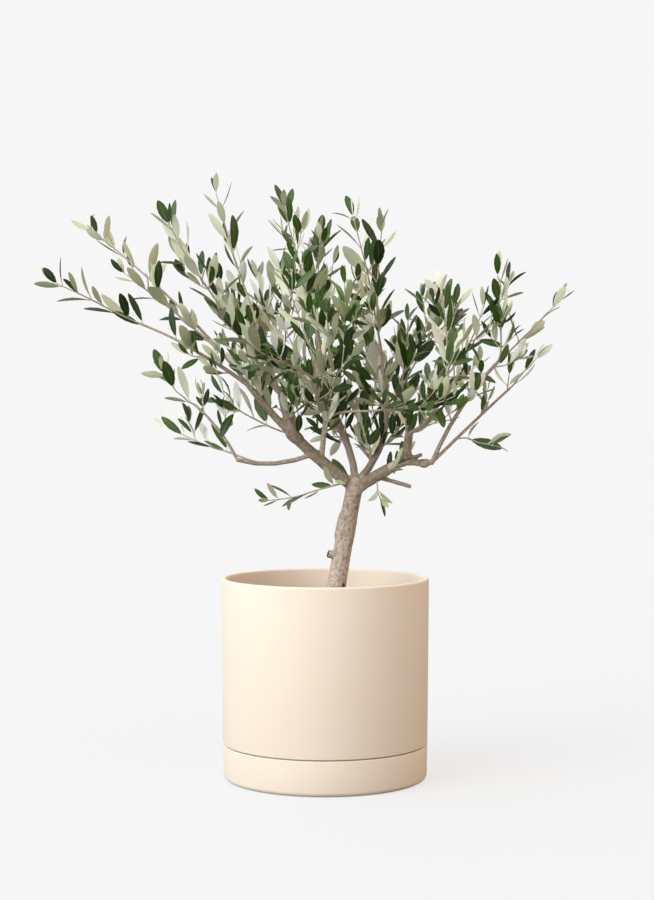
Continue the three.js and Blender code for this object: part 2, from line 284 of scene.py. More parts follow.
def add_node(
    tree: bpy.types.NodeTree,
    kind: str,
    inputs: dict[str | int, object] | None = None,
    **settings: object,
) -> bpy.types.Node:
    """Adds a shader node with its settings, its plain input values and its links.

    Args:
        tree: The node tree of a material, a group or the world.
        kind: The node's type.
        inputs: For each input a plain value, or the socket that feeds it.
        **settings: The node's own settings, such as its operation.

    Returns:
        The node.
    """
    node = tree.nodes.new(kind)
    for key, value in settings.items():
        setattr(node, key, value)
    for key, value in (inputs or {}).items():
        if isinstance(value, bpy.types.NodeSocket):
            tree.links.new(value, node.inputs[key])
        else:
            node.inputs[key].default_value = value
    return node


@dataclass(frozen=True)
class Mottling:
    """An uneven mask: its fineness, the noise where it starts and is full, and its stretch."""

    scale: float
    low: float
    high: float
    stretch: float = 1.0


def mottle_group() -> bpy.types.NodeTree:
    """Builds, once, the shared group that gives uneven masks over a surface.

    Returns:
        A group with a Vector, a Scale, a Stretch, a Low and a High input, and a Mask output.
    """
    found = bpy.data.node_groups.get("mottle")
    if found:
        return found
    group = bpy.data.node_groups.new("mottle", "ShaderNodeTree")
    face = group.interface
    face.new_socket("Vector", in_out="INPUT", socket_type="NodeSocketVector")
    for name, value in (("Scale", 50.0), ("Stretch", 1.0), ("Low", 0.35), ("High", 0.65)):
        face.new_socket(name, in_out="INPUT", socket_type="NodeSocketFloat").default_value = value
    face.new_socket("Mask", in_out="OUTPUT", socket_type="NodeSocketFloat")
    entry = add_node(group, "NodeGroupInput").outputs
    squeeze = add_node(group, "ShaderNodeCombineXYZ", {"X": 1.0, "Y": 1.0, "Z": entry["Stretch"]})
    stretched = add_node(
        group,
        "ShaderNodeVectorMath",
        {0: entry["Vector"], 1: squeeze.outputs["Vector"]},
        operation="MULTIPLY",
    ).outputs["Vector"]
    grain = add_node(
        group,
        "ShaderNodeTexNoise",
        {"Vector": stretched, "Scale": entry["Scale"], "Detail": 4.0, "Roughness": 0.6},
    ).outputs["Fac"]
    mask = add_node(
        group,
        "ShaderNodeMapRange",
        {"Value": grain, "From Min": entry["Low"], "From Max": entry["High"]},
        interpolation_type="SMOOTHSTEP",
    ).outputs["Result"]
    add_node(group, "NodeGroupOutput", {"Mask": mask})
    return group


class Finish:
    """A material under construction: its nodes, its Principled shader and short ways to link."""

    def __init__(self, name: str, base: Colour, roughness: float, specular: float) -> None:
        """Starts a plain material.

        Args:
            name: The material's name.
            base: The base colour, linear.
            roughness: The plain roughness.
            specular: The plain specular level.
        """
        self.material = bpy.data.materials.new(name)
        self.material.use_nodes = True
        self.tree = self.material.node_tree
        self.shader = self.tree.nodes["Principled BSDF"]
        self.plain(
            {"Base Color": (*base, 1.0), "Roughness": roughness, "Specular IOR Level": specular}
        )
        self.material.diffuse_color = (*base, 1.0)

    def plain(self, values: dict[str, object]) -> None:
        """Sets plain values of the Principled shader."""
        for key, value in values.items():
            self.shader.inputs[key].default_value = value

    def node(
        self, kind: str, inputs: dict[str | int, object] | None = None, **settings: object
    ) -> bpy.types.Node:
        """Adds a node to this material, as add_node does."""
        return add_node(self.tree, kind, inputs, **settings)

    def feed(self, name: str, socket: bpy.types.NodeSocket) -> None:
        """Feeds one input of the Principled shader."""
        self.tree.links.new(socket, self.shader.inputs[name])

    def place(self, attribute: str = "") -> bpy.types.NodeSocket:
        """Gives the place on the surface: object coordinates, or a named attribute.

        Args:
            attribute: The attribute's name, or nothing for object coordinates.

        Returns:
            A vector socket.
        """
        if attribute:
            return self.node("ShaderNodeAttribute", attribute_name=attribute).outputs["Vector"]
        return self.node("ShaderNodeTexCoord").outputs["Object"]

    def value(self, attribute: str) -> bpy.types.NodeSocket:
        """Reads a number that is stored on the mesh under a name."""
        return self.node("ShaderNodeAttribute", attribute_name=attribute).outputs["Fac"]

    def mottle(self, place: bpy.types.NodeSocket, mottling: Mottling) -> bpy.types.NodeSocket:
        """Places the mottle group.

        Args:
            place: The place on the surface.
            mottling: The mask's fineness, span and stretch.

        Returns:
            The mask.
        """
        inputs = {
            "Vector": place,
            "Scale": mottling.scale,
            "Stretch": mottling.stretch,
            "Low": mottling.low,
            "High": mottling.high,
        }
        return self.node("ShaderNodeGroup", inputs, node_tree=mottle_group()).outputs["Mask"]

    def cracks(
        self, place: bpy.types.NodeSocket, scale: float, width: float, warp: Colour
    ) -> bpy.types.NodeSocket:
        """Gives a wandering net of fine cracks between small cells.

        Args:
            place: The place on the surface.
            scale: How small the cells are.
            width: How wide the cracks are, as a share of a cell.
            warp: How far the net wanders on each axis, in cells.

        Returns:
            A mask that is full in the cracks.
        """
        noise_inputs = {"Vector": place, "Scale": scale * 0.9, "Detail": 3.0}
        wobble = self.node("ShaderNodeTexNoise", noise_inputs).outputs["Color"]
        reach = tuple(share / scale for share in warp)
        warped = self.node(
            "ShaderNodeVectorMath", {0: wobble, 1: reach, 2: place}, operation="MULTIPLY_ADD"
        ).outputs["Vector"]
        distance = self.node(
            "ShaderNodeTexVoronoi", {"Vector": warped, "Scale": scale}, feature="DISTANCE_TO_EDGE"
        ).outputs["Distance"]
        span = {"Value": distance, "From Max": width, "To Min": 1.0, "To Max": 0.0}
        return self.node("ShaderNodeMapRange", span).outputs["Result"]

    def times(
        self, mask: bpy.types.NodeSocket, other: bpy.types.NodeSocket | float
    ) -> bpy.types.NodeSocket:
        """Multiplies a mask by another one, or weakens it to a share.

        Args:
            mask: The mask.
            other: The other mask, or how much is left.

        Returns:
            The weaker mask.
        """
        product = self.node("ShaderNodeMath", {0: mask, 1: other}, operation="MULTIPLY")
        return product.outputs["Value"]

    def blend(
        self, mask: bpy.types.NodeSocket, first: Colour | bpy.types.NodeSocket, second: Colour
    ) -> bpy.types.NodeSocket:
        """Mixes two colours by a mask.

        Args:
            mask: Where the second colour shows.
            first: A plain colour or the result of an earlier mix.
            second: The plain colour laid over it.

        Returns:
            The mixed colour.
        """
        under = (*first, 1.0) if isinstance(first, tuple) else first
        inputs = {"Factor": mask, "A": under, "B": (*second, 1.0)}
        return self.node("ShaderNodeMix", inputs, data_type="RGBA").outputs["Result"]

    def roughen(self, mask: bpy.types.NodeSocket, span: Span) -> None:
        """Lets the roughness run between two values by a mask.

        Args:
            mask: The mask.
            span: The roughness where the mask is empty and where it is full.
        """
        inputs = {"Value": mask, "To Min": span[0], "To Max": span[1]}
        self.feed("Roughness", self.node("ShaderNodeMapRange", inputs).outputs["Result"])

    def bump(self, heights: Sequence[tuple[bpy.types.NodeSocket, float]]) -> None:
        """Adds bumps, each a mask and its depth, one on top of another.

        Args:
            heights: Pairs of a mask and a depth in metres.
        """
        below = None
        for mask, depth in heights:
            inputs = {"Strength": 1.0, "Distance": depth, "Height": mask}
            if below:
                inputs["Normal"] = below
            below = self.node("ShaderNodeBump", inputs).outputs["Normal"]
        self.feed("Normal", below)


@dataclass(frozen=True)
class Stoneware:
    """Smooth matte unglazed clay: warm cream with a soft clouding and a very fine tooth."""

    cream: Colour = (0.900, 0.765, 0.575)
    warm: Colour = (0.880, 0.725, 0.510)
    fleck: Colour = (0.680, 0.510, 0.340)
    roughness: Span = (0.52, 0.66)
    specular: float = 0.45
    clouds: Mottling = Mottling(14.0, 0.35, 0.70)
    tooth: Mottling = Mottling(900.0, 0.30, 0.70)
    flecks: Mottling = Mottling(420.0, 0.70, 0.78)
    cloud_share: float = 0.35
    fleck_share: float = 0.22
    cloud_depth: float = 0.12 * MM
    tooth_depth: float = 0.048 * MM
    sheen: float = 0.12
    sheen_roughness: float = 0.60

    def make(self) -> bpy.types.Material:
        """Makes the material."""
        finish = Finish("cream_stoneware", self.cream, self.roughness[0], self.specular)
        place = finish.place()
        cloud, tooth = finish.mottle(place, self.clouds), finish.mottle(place, self.tooth)
        flecks = finish.times(finish.mottle(place, self.flecks), self.fleck_share)
        colour = finish.blend(finish.times(cloud, self.cloud_share), self.cream, self.warm)
        finish.feed("Base Color", finish.blend(flecks, colour, self.fleck))
        finish.roughen(tooth, self.roughness)
        finish.bump([(cloud, self.cloud_depth), (tooth, self.tooth_depth)])
        finish.plain({"Sheen Weight": self.sheen, "Sheen Roughness": self.sheen_roughness})
        return finish.material


@dataclass(frozen=True)
class PottingSoil:
    """Dark, damp, crumbly potting soil."""

    dark: Colour = (0.030, 0.019, 0.012)
    brown: Colour = (0.105, 0.066, 0.040)
    dry: Colour = (0.210, 0.150, 0.100)
    roughness: Span = (0.82, 1.0)
    specular: float = 0.2
    clods: Mottling = Mottling(160.0, 0.40, 0.62)
    specks: Mottling = Mottling(900.0, 0.58, 0.70)
    speck_share: float = 0.7
    clod_depth: float = 1.2 * MM
    speck_depth: float = 0.5 * MM

    def make(self) -> bpy.types.Material:
        """Makes the material."""
        finish = Finish("potting_soil", self.brown, self.roughness[1], self.specular)
        place = finish.place()
        clods, specks = finish.mottle(place, self.clods), finish.mottle(place, self.specks)
        colour = finish.blend(clods, self.dark, self.brown)
        colour = finish.blend(finish.times(specks, self.speck_share), colour, self.dry)
        finish.feed("Base Color", colour)
        finish.roughen(clods, self.roughness)
        finish.bump([(clods, self.clod_depth), (specks, self.speck_depth)])
        return finish.material


@dataclass(frozen=True)
class Bark:
    """Young olive bark: fine, wrinkled and tan-grey, olive-brown on the boughs and darker olive on
    their tops as painted shade, with pale specks.

    It reads attributes of the wood: grain (the place along the limb), apart (0 where two limbs
    meet), olive (the olive-brown tone, laid heavier on the boughs' tops as painted shade), hollow,
    and the masks cut and dead.
    """

    tan: Colour = (0.790, 0.640, 0.490)
    grey: Colour = (0.640, 0.535, 0.425)
    crevice: Colour = (0.140, 0.092, 0.055)
    # Olive-brown of the boughs; laid heavier on their tops, it is also painted shade.
    olive: Colour = (0.165, 0.135, 0.052)
    pale: Colour = (0.660, 0.560, 0.440)
    cut: Colour = (0.040, 0.027, 0.020)
    dead: Colour = (0.520, 0.425, 0.375)
    roughness: Span = (0.72, 0.95)
    specular: float = 0.3
    patches: Mottling = Mottling(75.0, 0.40, 0.62, 0.35)
    wrinkles: Mottling = Mottling(480.0, 0.38, 0.62, 0.80)
    crazed: Mottling = Mottling(210.0, 0.42, 0.60)
    specks: Mottling = Mottling(560.0, 0.63, 0.70, 0.70)
    crack_scale: float = 330.0
    crack_width: float = 0.14
    crack_warp: Colour = (1.6, 1.6, 0.9)
    patch_share: float = 0.45
    wrinkle_share: float = 0.26
    crack_share: float = 0.28
    hollow_share: float = 0.50
    speck_share: float = 0.50
    dead_share: float = 0.80
    groove_depth: float = 0.4 * MM
    speck_height: float = 0.3 * MM

    def make(self) -> bpy.types.Material:
        """Makes the material."""
        finish = Finish("olive_bark", self.tan, self.roughness[1], self.specular)
        place = finish.place()
        patches = finish.mottle(finish.place("grain"), self.patches)
        patches = finish.times(patches, finish.value("apart"))
        wrinkles = finish.mottle(place, self.wrinkles)
        cracks = finish.cracks(place, self.crack_scale, self.crack_width, self.crack_warp)
        cracks = finish.times(cracks, finish.mottle(place, self.crazed))
        specks = finish.mottle(place, self.specks)
        colour = self.tan
        for mask, share, laid in (
            (patches, self.patch_share, self.grey),
            # The olive mask: the boughs' olive-brown tone, heavier on their tops as painted shade.
            (finish.value("olive"), 1.0, self.olive),
            (wrinkles, self.wrinkle_share, self.crevice),
            (cracks, self.crack_share, self.crevice),
            (finish.value("hollow"), self.hollow_share, self.crevice),
            (specks, self.speck_share, self.pale),
            (finish.value("dead"), self.dead_share, self.dead),
            (finish.value("cut"), 1.0, self.cut),
        ):
            colour = finish.blend(finish.times(mask, share), colour, laid)
        finish.feed("Base Color", colour)
        finish.roughen(wrinkles, self.roughness)
        grooves = [(wrinkles, -self.groove_depth), (cracks, -self.groove_depth)]
        finish.bump([*grooves, (specks, self.speck_height)])
        return finish.material


@dataclass(frozen=True)
class PlainWood:
    """Thin bark or grit of one ground colour, with a darker and a lighter mottling."""

    name: str
    ground: Colour
    darker: Colour
    lighter: Colour
    roughness: float = 0.70
    roughness_spread: Span = (-0.08, 0.12)
    specular: float = 0.35
    shades: Mottling = Mottling(260.0, 0.45, 0.68)
    specks: Mottling = Mottling(1040.0, 0.60, 0.70)
    shade_share: float = 0.75
    speck_share: float = 0.60
    shade_depth: float = 0.2 * MM
    speck_depth: float = 0.1 * MM

    def make(self) -> bpy.types.Material:
        """Makes the material."""
        finish = Finish(self.name, self.ground, self.roughness, self.specular)
        place = finish.place()
        shade, specks = finish.mottle(place, self.shades), finish.mottle(place, self.specks)
        colour = finish.blend(finish.times(shade, self.shade_share), self.ground, self.darker)
        colour = finish.blend(finish.times(specks, self.speck_share), colour, self.lighter)
        finish.feed("Base Color", colour)
        smoother, rougher = (self.roughness + change for change in self.roughness_spread)
        finish.roughen(shade, (smoother, rougher))
        finish.bump([(shade, self.shade_depth), (specks, self.speck_depth)])
        return finish.material


GROWN_TWIG = PlainWood(
    "tan_twig", (0.530, 0.440, 0.310), (0.370, 0.290, 0.190), (0.700, 0.625, 0.480)
)
YOUNG_TWIG = PlainWood(
    "young_twig", (0.620, 0.550, 0.370), (0.480, 0.390, 0.220), (0.760, 0.710, 0.520), 0.6
)
PALE_GRIT = PlainWood(
    "pale_grit", (0.560, 0.520, 0.450), (0.380, 0.330, 0.260), (0.740, 0.710, 0.650), 0.9
)


class Tone(Enum):
    """The leaf tones: each holds the colours of the upper side, of vein and margin, and beneath."""

    DEEP = ((0.018, 0.040, 0.004), (0.090, 0.140, 0.030), (0.500, 0.520, 0.300))
    MID = ((0.044, 0.098, 0.008), (0.140, 0.210, 0.050), (0.620, 0.645, 0.400))
    BLUE = ((0.053, 0.106, 0.020), (0.165, 0.235, 0.085), (0.745, 0.765, 0.530))
    GREY = ((0.082, 0.146, 0.035), (0.210, 0.285, 0.115), (0.890, 0.890, 0.710))
    YOUNG = ((0.092, 0.200, 0.014), (0.225, 0.350, 0.060), (0.520, 0.580, 0.290))


@dataclass(frozen=True)
class LeafSkin:
    """The waxy skin of an olive leaf, glossier above than beneath, in plain base colours."""

    gloss: tuple[float, float, float] = (0.38, 0.45, 0.65)
    specular: tuple[float, float, float] = (0.30, 0.30, 0.20)

    def make(self, tone: Tone) -> list[bpy.types.Material]:
        """Makes the materials of one tone.

        Args:
            tone: The leaf tone.

        Returns:
            The materials for the upper side, for vein and margin, and for the underside.
        """
        made = []
        sides = ("upper", "vein", "under")
        for side, colour, gloss, specular in zip(sides, tone.value, self.gloss, self.specular):
            name = f"leaf_{tone.name.lower()}_{side}"
            made.append(Finish(name, colour, gloss, specular).material)
        return made


# ---------------------------------------------------------------------------------------------
# Planter, saucer and soil
# ---------------------------------------------------------------------------------------------


@dataclass(frozen=True)
class Ring:
    """One ring of turned ware: its radius, its height, and how far its edge is rounded."""

    radius: float
    height: float
    rounding: float = 0.0


@dataclass
class TurnedWare:
    """A closed piece of turned stoneware, raised ring by ring from the disc of its first ring."""

    name: str
    node: str
    rings: list[Ring]
    sides: int = 192
    segments: int = 5
    sharp_angle: float = math.radians(40)

    def build(self) -> bpy.types.Object:
        """Raises the shape, closes it, rounds its edges and smooths it."""
        deselect_all()
        first = self.rings[0]
        place = (0, 0, first.height)
        bpy.ops.mesh.primitive_circle_add(
            vertices=self.sides, radius=first.radius, fill_type="NGON", location=place
        )
        piece = bpy.context.active_object
        piece.name = self.name
        bpy.ops.object.transform_apply(location=True)
        bpy.ops.object.mode_set(mode="EDIT")
        bpy.ops.mesh.select_mode(type="EDGE")
        bpy.ops.mesh.select_all(action="SELECT")
        below = first
        for ring in self.rings[1:]:
            rise = (0, 0, ring.height - below.height)
            bpy.ops.mesh.extrude_edges_move(TRANSFORM_OT_translate={"value": rise})
            spread = ring.radius / below.radius
            centre = (0, 0, ring.height)
            bpy.ops.transform.resize(value=(spread, spread, 1), center_override=centre)
            below = ring
        bpy.ops.mesh.edge_face_add()
        bpy.ops.mesh.select_all(action="SELECT")
        bpy.ops.mesh.normals_make_consistent(inside=False)
        for ring in self.rings:
            if ring.rounding:
                self.round_edge(piece, ring)
        bpy.ops.object.mode_set(mode="OBJECT")
        bpy.ops.object.shade_smooth_by_angle(angle=self.sharp_angle)
        return piece

    def round_edge(self, piece: bpy.types.Object, ring: Ring) -> None:
        """Bevels one ring's edge in edit mode.

        Args:
            piece: The piece that is in edit mode.
            ring: The ring to round.
        """
        near = 0.02 * MM

        def on_ring(first: Vector, second: Vector) -> bool:
            """Tells whether an edge lies on the ring."""
            level = all(abs(end.z - ring.height) < near for end in (first, second))
            return level and all(abs(end.xy.length - ring.radius) < near for end in (first, second))

        select_edges(piece, on_ring)
        bpy.ops.mesh.bevel(offset=ring.rounding, segments=self.segments, affect="EDGES")

    def dress(self, piece: bpy.types.Object, clay: bpy.types.Material) -> None:
        """Gives the piece its clay and settles it.

        Args:
            piece: The built piece.
            clay: The stoneware material.
        """
        piece.data.materials.append(clay)
        settle(piece, [self.node])


@dataclass
class PotSizes:
    """The sizes of planter and saucer, worked out from the frame and a few thicknesses."""

    wall: float = 6 * MM
    lip: float = 2.55 * MM
    foot_inset: float = 8 * MM
    floor: float = 6 * MM
    seam: float = 1.5 * MM
    taper: float = 1.7 * MM
    saucer_wall: float = 4.5 * MM
    saucer_floor: float = 5 * MM
    saucer_edge: float = 6 * MM
    saucer_taper: float = 0.9 * MM
    shoulder: float = 9 * MM
    edge: float = 0.9 * MM
    rim_radius: float = field(init=False)
    rim_height: float = field(init=False)
    foot_height: float = field(init=False)
    saucer_top: float = field(init=False)

    def __post_init__(self) -> None:
        """Reads the outer sizes from the frame."""
        low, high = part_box("planter")
        self.rim_radius, self.rim_height, self.foot_height = high.x, high.z, low.z
        self.saucer_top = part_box("saucer")[1].z

    @property
    def seam_top(self) -> float:
        """The height of the planter's lower edge above the seam."""
        return self.saucer_top + self.seam

    def outer(self, height: float) -> float:
        """The planter's outer radius at a height.

        Args:
            height: The height in metres.

        Returns:
            The radius in metres.
        """
        fall = (self.rim_height - height) / (self.rim_height - self.seam_top)
        return self.rim_radius - self.taper * fall

    def planter(self) -> TurnedWare:
        """The planter: foot, body, rounded lip, inner wall and floor."""
        body_low = self.outer(self.seam_top)
        foot = body_low - self.foot_inset + self.taper
        inner_low = self.outer(self.seam_top + self.shoulder) - self.wall
        floor_top = self.foot_height + self.floor
        rings = [
            Ring(foot, self.foot_height, 2 * self.edge),
            Ring(foot, self.seam_top),
            Ring(body_low, self.seam_top, self.edge),
            Ring(self.rim_radius, self.rim_height, self.lip),
            Ring(self.rim_radius - self.wall, self.rim_height, self.lip),
            Ring(inner_low, self.seam_top + self.shoulder, self.edge),
            Ring(foot - self.wall, self.seam_top, self.edge),
            Ring(foot - self.wall, floor_top, 3 * self.edge),
        ]
        return TurnedWare("stoneware_planter", "planter", rings)

    def saucer(self) -> TurnedWare:
        """The saucer: rounded under-edge, straight wall and flat floor inside."""
        top_radius = self.outer(self.seam_top)
        rings = [
            Ring(top_radius - self.saucer_taper, 0.0, self.saucer_edge),
            Ring(top_radius, self.saucer_top, self.edge),
            Ring(top_radius - self.saucer_wall, self.saucer_top, self.edge),
            Ring(top_radius - self.saucer_wall, self.saucer_floor, 2 * self.edge),
        ]
        return TurnedWare("stoneware_saucer", "saucer", rings)


@dataclass
class Soil:
    """The root ball: a closed cake of soil whose open surface is crumbly and falls to the wall."""

    sizes: PotSizes
    clearance: float = 0.4 * MM
    flat_radius: float = 46 * MM
    fall: float = 4 * MM
    relief: float = 3 * MM
    sides: int = 128
    inner_rings: int = 12
    clods: tuple[Span, ...] = ((20 * MM, 1.0), (6 * MM, 0.55))
    crumb_count: int = 900
    crumb_radius: Span = (0.7 * MM, 2.4 * MM)
    grit_count: int = 90
    grit_radius: Span = (0.6 * MM, 1.7 * MM)
    stretch: Span = (0.65, 1.25)
    lumpiness: Span = (0.80, 1.15)
    sunk: float = 0.1

    def build(self) -> bpy.types.Object:
        """Raises the cake, divides its top finely and makes it crumbly."""
        low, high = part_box("root_ball")
        foot = self.sizes.outer(self.sizes.seam_top) - self.sizes.foot_inset + self.sizes.taper
        lower = foot - self.sizes.wall - 2 * self.clearance
        upper = self.sizes.outer(high.z) - self.sizes.wall - self.clearance
        shoulder = self.sizes.seam_top + self.sizes.shoulder
        edge = high.z - self.fall
        rings = [
            Ring(lower, low.z + self.clearance, 2 * MM),
            Ring(lower, self.sizes.seam_top + self.clearance),
            Ring(upper - 2 * self.clearance, shoulder + 2 * self.clearance),
            Ring(upper - self.clearance, edge),
            Ring(self.flat_radius, high.z),
        ]
        for step in range(1, self.inner_rings):
            rings.append(Ring(self.flat_radius * (1 - step / self.inner_rings), high.z))
        piece = TurnedWare("potting_soil", "root_ball", rings, sides=self.sides).build()
        bpy.ops.object.mode_set(mode="EDIT")
        top = edge + 0.5 * self.clearance
        select_edges(piece, lambda first, second: min(first.z, second.z) > edge - 1 * MM)
        bpy.ops.mesh.subdivide(number_cuts=2)
        bpy.ops.object.mode_set(mode="OBJECT")
        surface = piece.vertex_groups.new(name="surface")
        raised = [point.index for point in piece.data.vertices if point.co.z > top]
        surface.add(raised, 1.0, "REPLACE")
        for size, share in self.clods:
            clods = bpy.data.textures.new("clods", "CLOUDS")
            clods.noise_scale = size
            modify(
                piece,
                "DISPLACE",
                texture=clods,
                strength=self.relief * share,
                mid_level=0.75,
                vertex_group="surface",
                texture_coords="LOCAL",
                direction="Z",
            )
        return piece

    def scatter(self, name: str, count: int, size: Span, seed: int) -> bpy.types.Object:
        """Scatters small stones over the surface of the soil, as one joined mesh.

        Args:
            name: The piece's name.
            count: How many stones.
            size: The smallest and the largest radius.
            seed: The seed of their places.

        Returns:
            The joined piece.
        """
        deselect_all()
        bpy.ops.mesh.primitive_ico_sphere_add(subdivisions=1, radius=1)
        stone = bpy.context.active_object
        shape = np.array([point.co for point in stone.data.vertices])
        faces = np.array([face.vertices for face in stone.data.polygons])
        bpy.data.objects.remove(stone)
        rng = np.random.default_rng(seed)
        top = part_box("root_ball")[1].z
        reach = self.sizes.outer(top) - self.sizes.wall - 4 * MM
        points, sides = [], []
        for index in range(count):
            radius = reach * math.sqrt(rng.uniform(0.01, 1))
            turn = rng.uniform(0, 2 * math.pi)
            drop = self.fall * max(0.0, (radius - self.flat_radius) / (reach - self.flat_radius))
            half = rng.uniform(*size)
            stretch = rng.uniform(*self.stretch, 3) * half
            lumps = rng.uniform(*self.lumpiness, (len(shape), 1))
            height = top - drop - self.sunk * half
            centre = np.array((radius * math.cos(turn), radius * math.sin(turn), height))
            points.append(shape * lumps * stretch + centre)
            sides.append(faces + index * len(shape))
        return piece_of(name, points, np.concatenate(sides).tolist())

    def dress(self, piece: bpy.types.Object) -> None:
        """Dresses and settles the soil, its crumbs and its pale grit.

        Args:
            piece: The built soil.
        """
        earth = PottingSoil().make()
        piece.data.materials.append(earth)
        settle(piece, ["root_ball"])
        for name, count, size, seed, finish in (
            ("soil_crumbs", self.crumb_count, self.crumb_radius, SEED + 1, earth),
            ("soil_grit", self.grit_count, self.grit_radius, SEED + 2, PALE_GRIT.make()),
        ):
            stones = self.scatter(name, count, size, seed)
            stones.data.materials.append(finish)
            settle(stones, [])


# ---------------------------------------------------------------------------------------------
# Wood: trunk and boughs
# ---------------------------------------------------------------------------------------------


@dataclass
class CentreLine:
    """The centre line and girth of a limb of the frame, measured on its solid."""

    places: np.ndarray
    radii: np.ndarray

    @classmethod
    def of_node(cls, node: str, origin: np.ndarray, slices: int = 14) -> CentreLine:
        """Measures a node in slices square to its long axis.

        Args:
            node: The node's name.
            origin: A place nearer to the limb's base than to its tip.
            slices: How many slices are measured.

        Returns:
            The centre line.
        """
        points = points_of(node)
        mesh = frame["nodes"][node].data
        middle = points.mean(axis=0)
        axis = np.linalg.svd(points - middle, full_matrices=False)[2][0]
        along = (points - middle) @ axis
        ends = [
            points[along < along.min() + NEAR_BY].mean(axis=0),
            points[along > along.max() - NEAR_BY].mean(axis=0),
        ]
        if np.linalg.norm(ends[0] - origin) > np.linalg.norm(ends[1] - origin):
            axis, along = -axis, -along
            ends.reverse()
        pairs = np.array([edge.vertices for edge in mesh.edges])
        first, second = points[pairs[:, 0]], points[pairs[:, 1]]
        low, high = along[pairs[:, 0]], along[pairs[:, 1]]
        places, radii = [], []
        for level in np.linspace(along.min() + 2 * MM, along.max() - 1 * MM, slices):
            crossed = (low - level) * (high - level) < 0
            share = ((level - low[crossed]) / (high[crossed] - low[crossed]))[:, None]
            cut = first[crossed] + (second[crossed] - first[crossed]) * share
            if len(cut) < 3:
                continue
            centre = (cut.max(axis=0) + cut.min(axis=0)) / 2
            places.append(centre)
            radii.append(float(np.median(np.linalg.norm(cut - centre, axis=1))))
        return cls(np.array(places), np.array(radii))

    def at(self, fraction: float) -> tuple[np.ndarray, float, np.ndarray]:
        """Gives the place, radius and direction at a fraction of the measured length.

        Args:
            fraction: From 0 at the base to 1 at the tip.

        Returns:
            The place, the radius and the direction.
        """
        steps = np.linspace(0, 1, len(self.places))
        place = interpolated(fraction, steps, self.places)
        index = int(np.clip(round(fraction * (len(steps) - 1)), 1, len(steps) - 2))
        direction = unit(self.places[index + 1] - self.places[index - 1])
        return place, float(np.interp(fraction, steps, self.radii)), direction


@dataclass
class Scar:
    """A cut, dead or swollen place on the wood: its centre, its reach, and where it looks."""

    place: tuple[float, float, float]
    reach: float
    facing: tuple[float, float, float] | None = None
    firmness: float = 2.2
    facing_firmness: float = 4.0
    facing_least: float = 0.45

    def share(self, point: bpy.types.MeshVertex) -> float:
        """Tells how far a point lies in the scar.

        Args:
            point: A point of the wood.

        Returns:
            From 0 outside to 1 well inside.
        """
        share = self.firmness * (1.0 - (point.co - Vector(self.place)).length / self.reach)
        if self.facing:
            turned = point.normal.dot(Vector(self.facing).normalized())
            share = min(share, self.facing_firmness * (turned - self.facing_least))
        return min(1.0, max(0.0, share))


@dataclass(frozen=True)
class BarkRelief:
    """The bark's relief: long ridges, wrinkles and small lozenges, each across and along."""

    ridges: Span = (150.0, 40.0)
    wrinkles: Span = (480.0, 260.0)
    lozenges: Span = (380.0, 230.0)
    ridge_share: float = 0.24
    wrinkle_share: float = 0.26
    lozenge_share: float = 0.28
    lozenge_middle: float = 0.42
    hollow_from: float = 0.50
    hollow_gain: float = 2.4
    wrinkle_gain: float = 0.8
    thin_height: float = 0.25
    thin_hollow: float = 0.3

    def at(self, spot: Vector, age: float) -> tuple[float, float]:
        """Works out the bark's height at a place.

        Args:
            spot: The place in the limb's own grain.
            age: 1 on the trunk, less on thin limbs.

        Returns:
            The relief from 0 to 1, with 0.5 for no change, and how hollow the place is.
        """
        fine = [
            Vector((spot.x * across, spot.y * across, spot.z * along))
            for across, along in (self.ridges, self.wrinkles, self.lozenges)
        ]
        ridges, wrinkles = noise.noise(fine[0]), noise.noise(fine[1])
        cells = noise.voronoi(fine[2])[0][0]
        height = self.ridge_share * ridges + self.wrinkle_share * wrinkles
        height += self.lozenge_share * (self.lozenge_middle - cells)
        deep = (cells - self.hollow_from) * self.hollow_gain
        deep = min(1.0, max(0.0, deep + max(0.0, -wrinkles) * self.wrinkle_gain))
        height *= self.thin_height + (1 - self.thin_height) * age
        return 0.5 + height, deep * (self.thin_hollow + (1 - self.thin_hollow) * age)


@dataclass
class Station:
    """A place on a limb's centre line: its radius, its limb, and how far along all the limbs."""

    place: Vector
    radius: float
    limb: int
    run: float


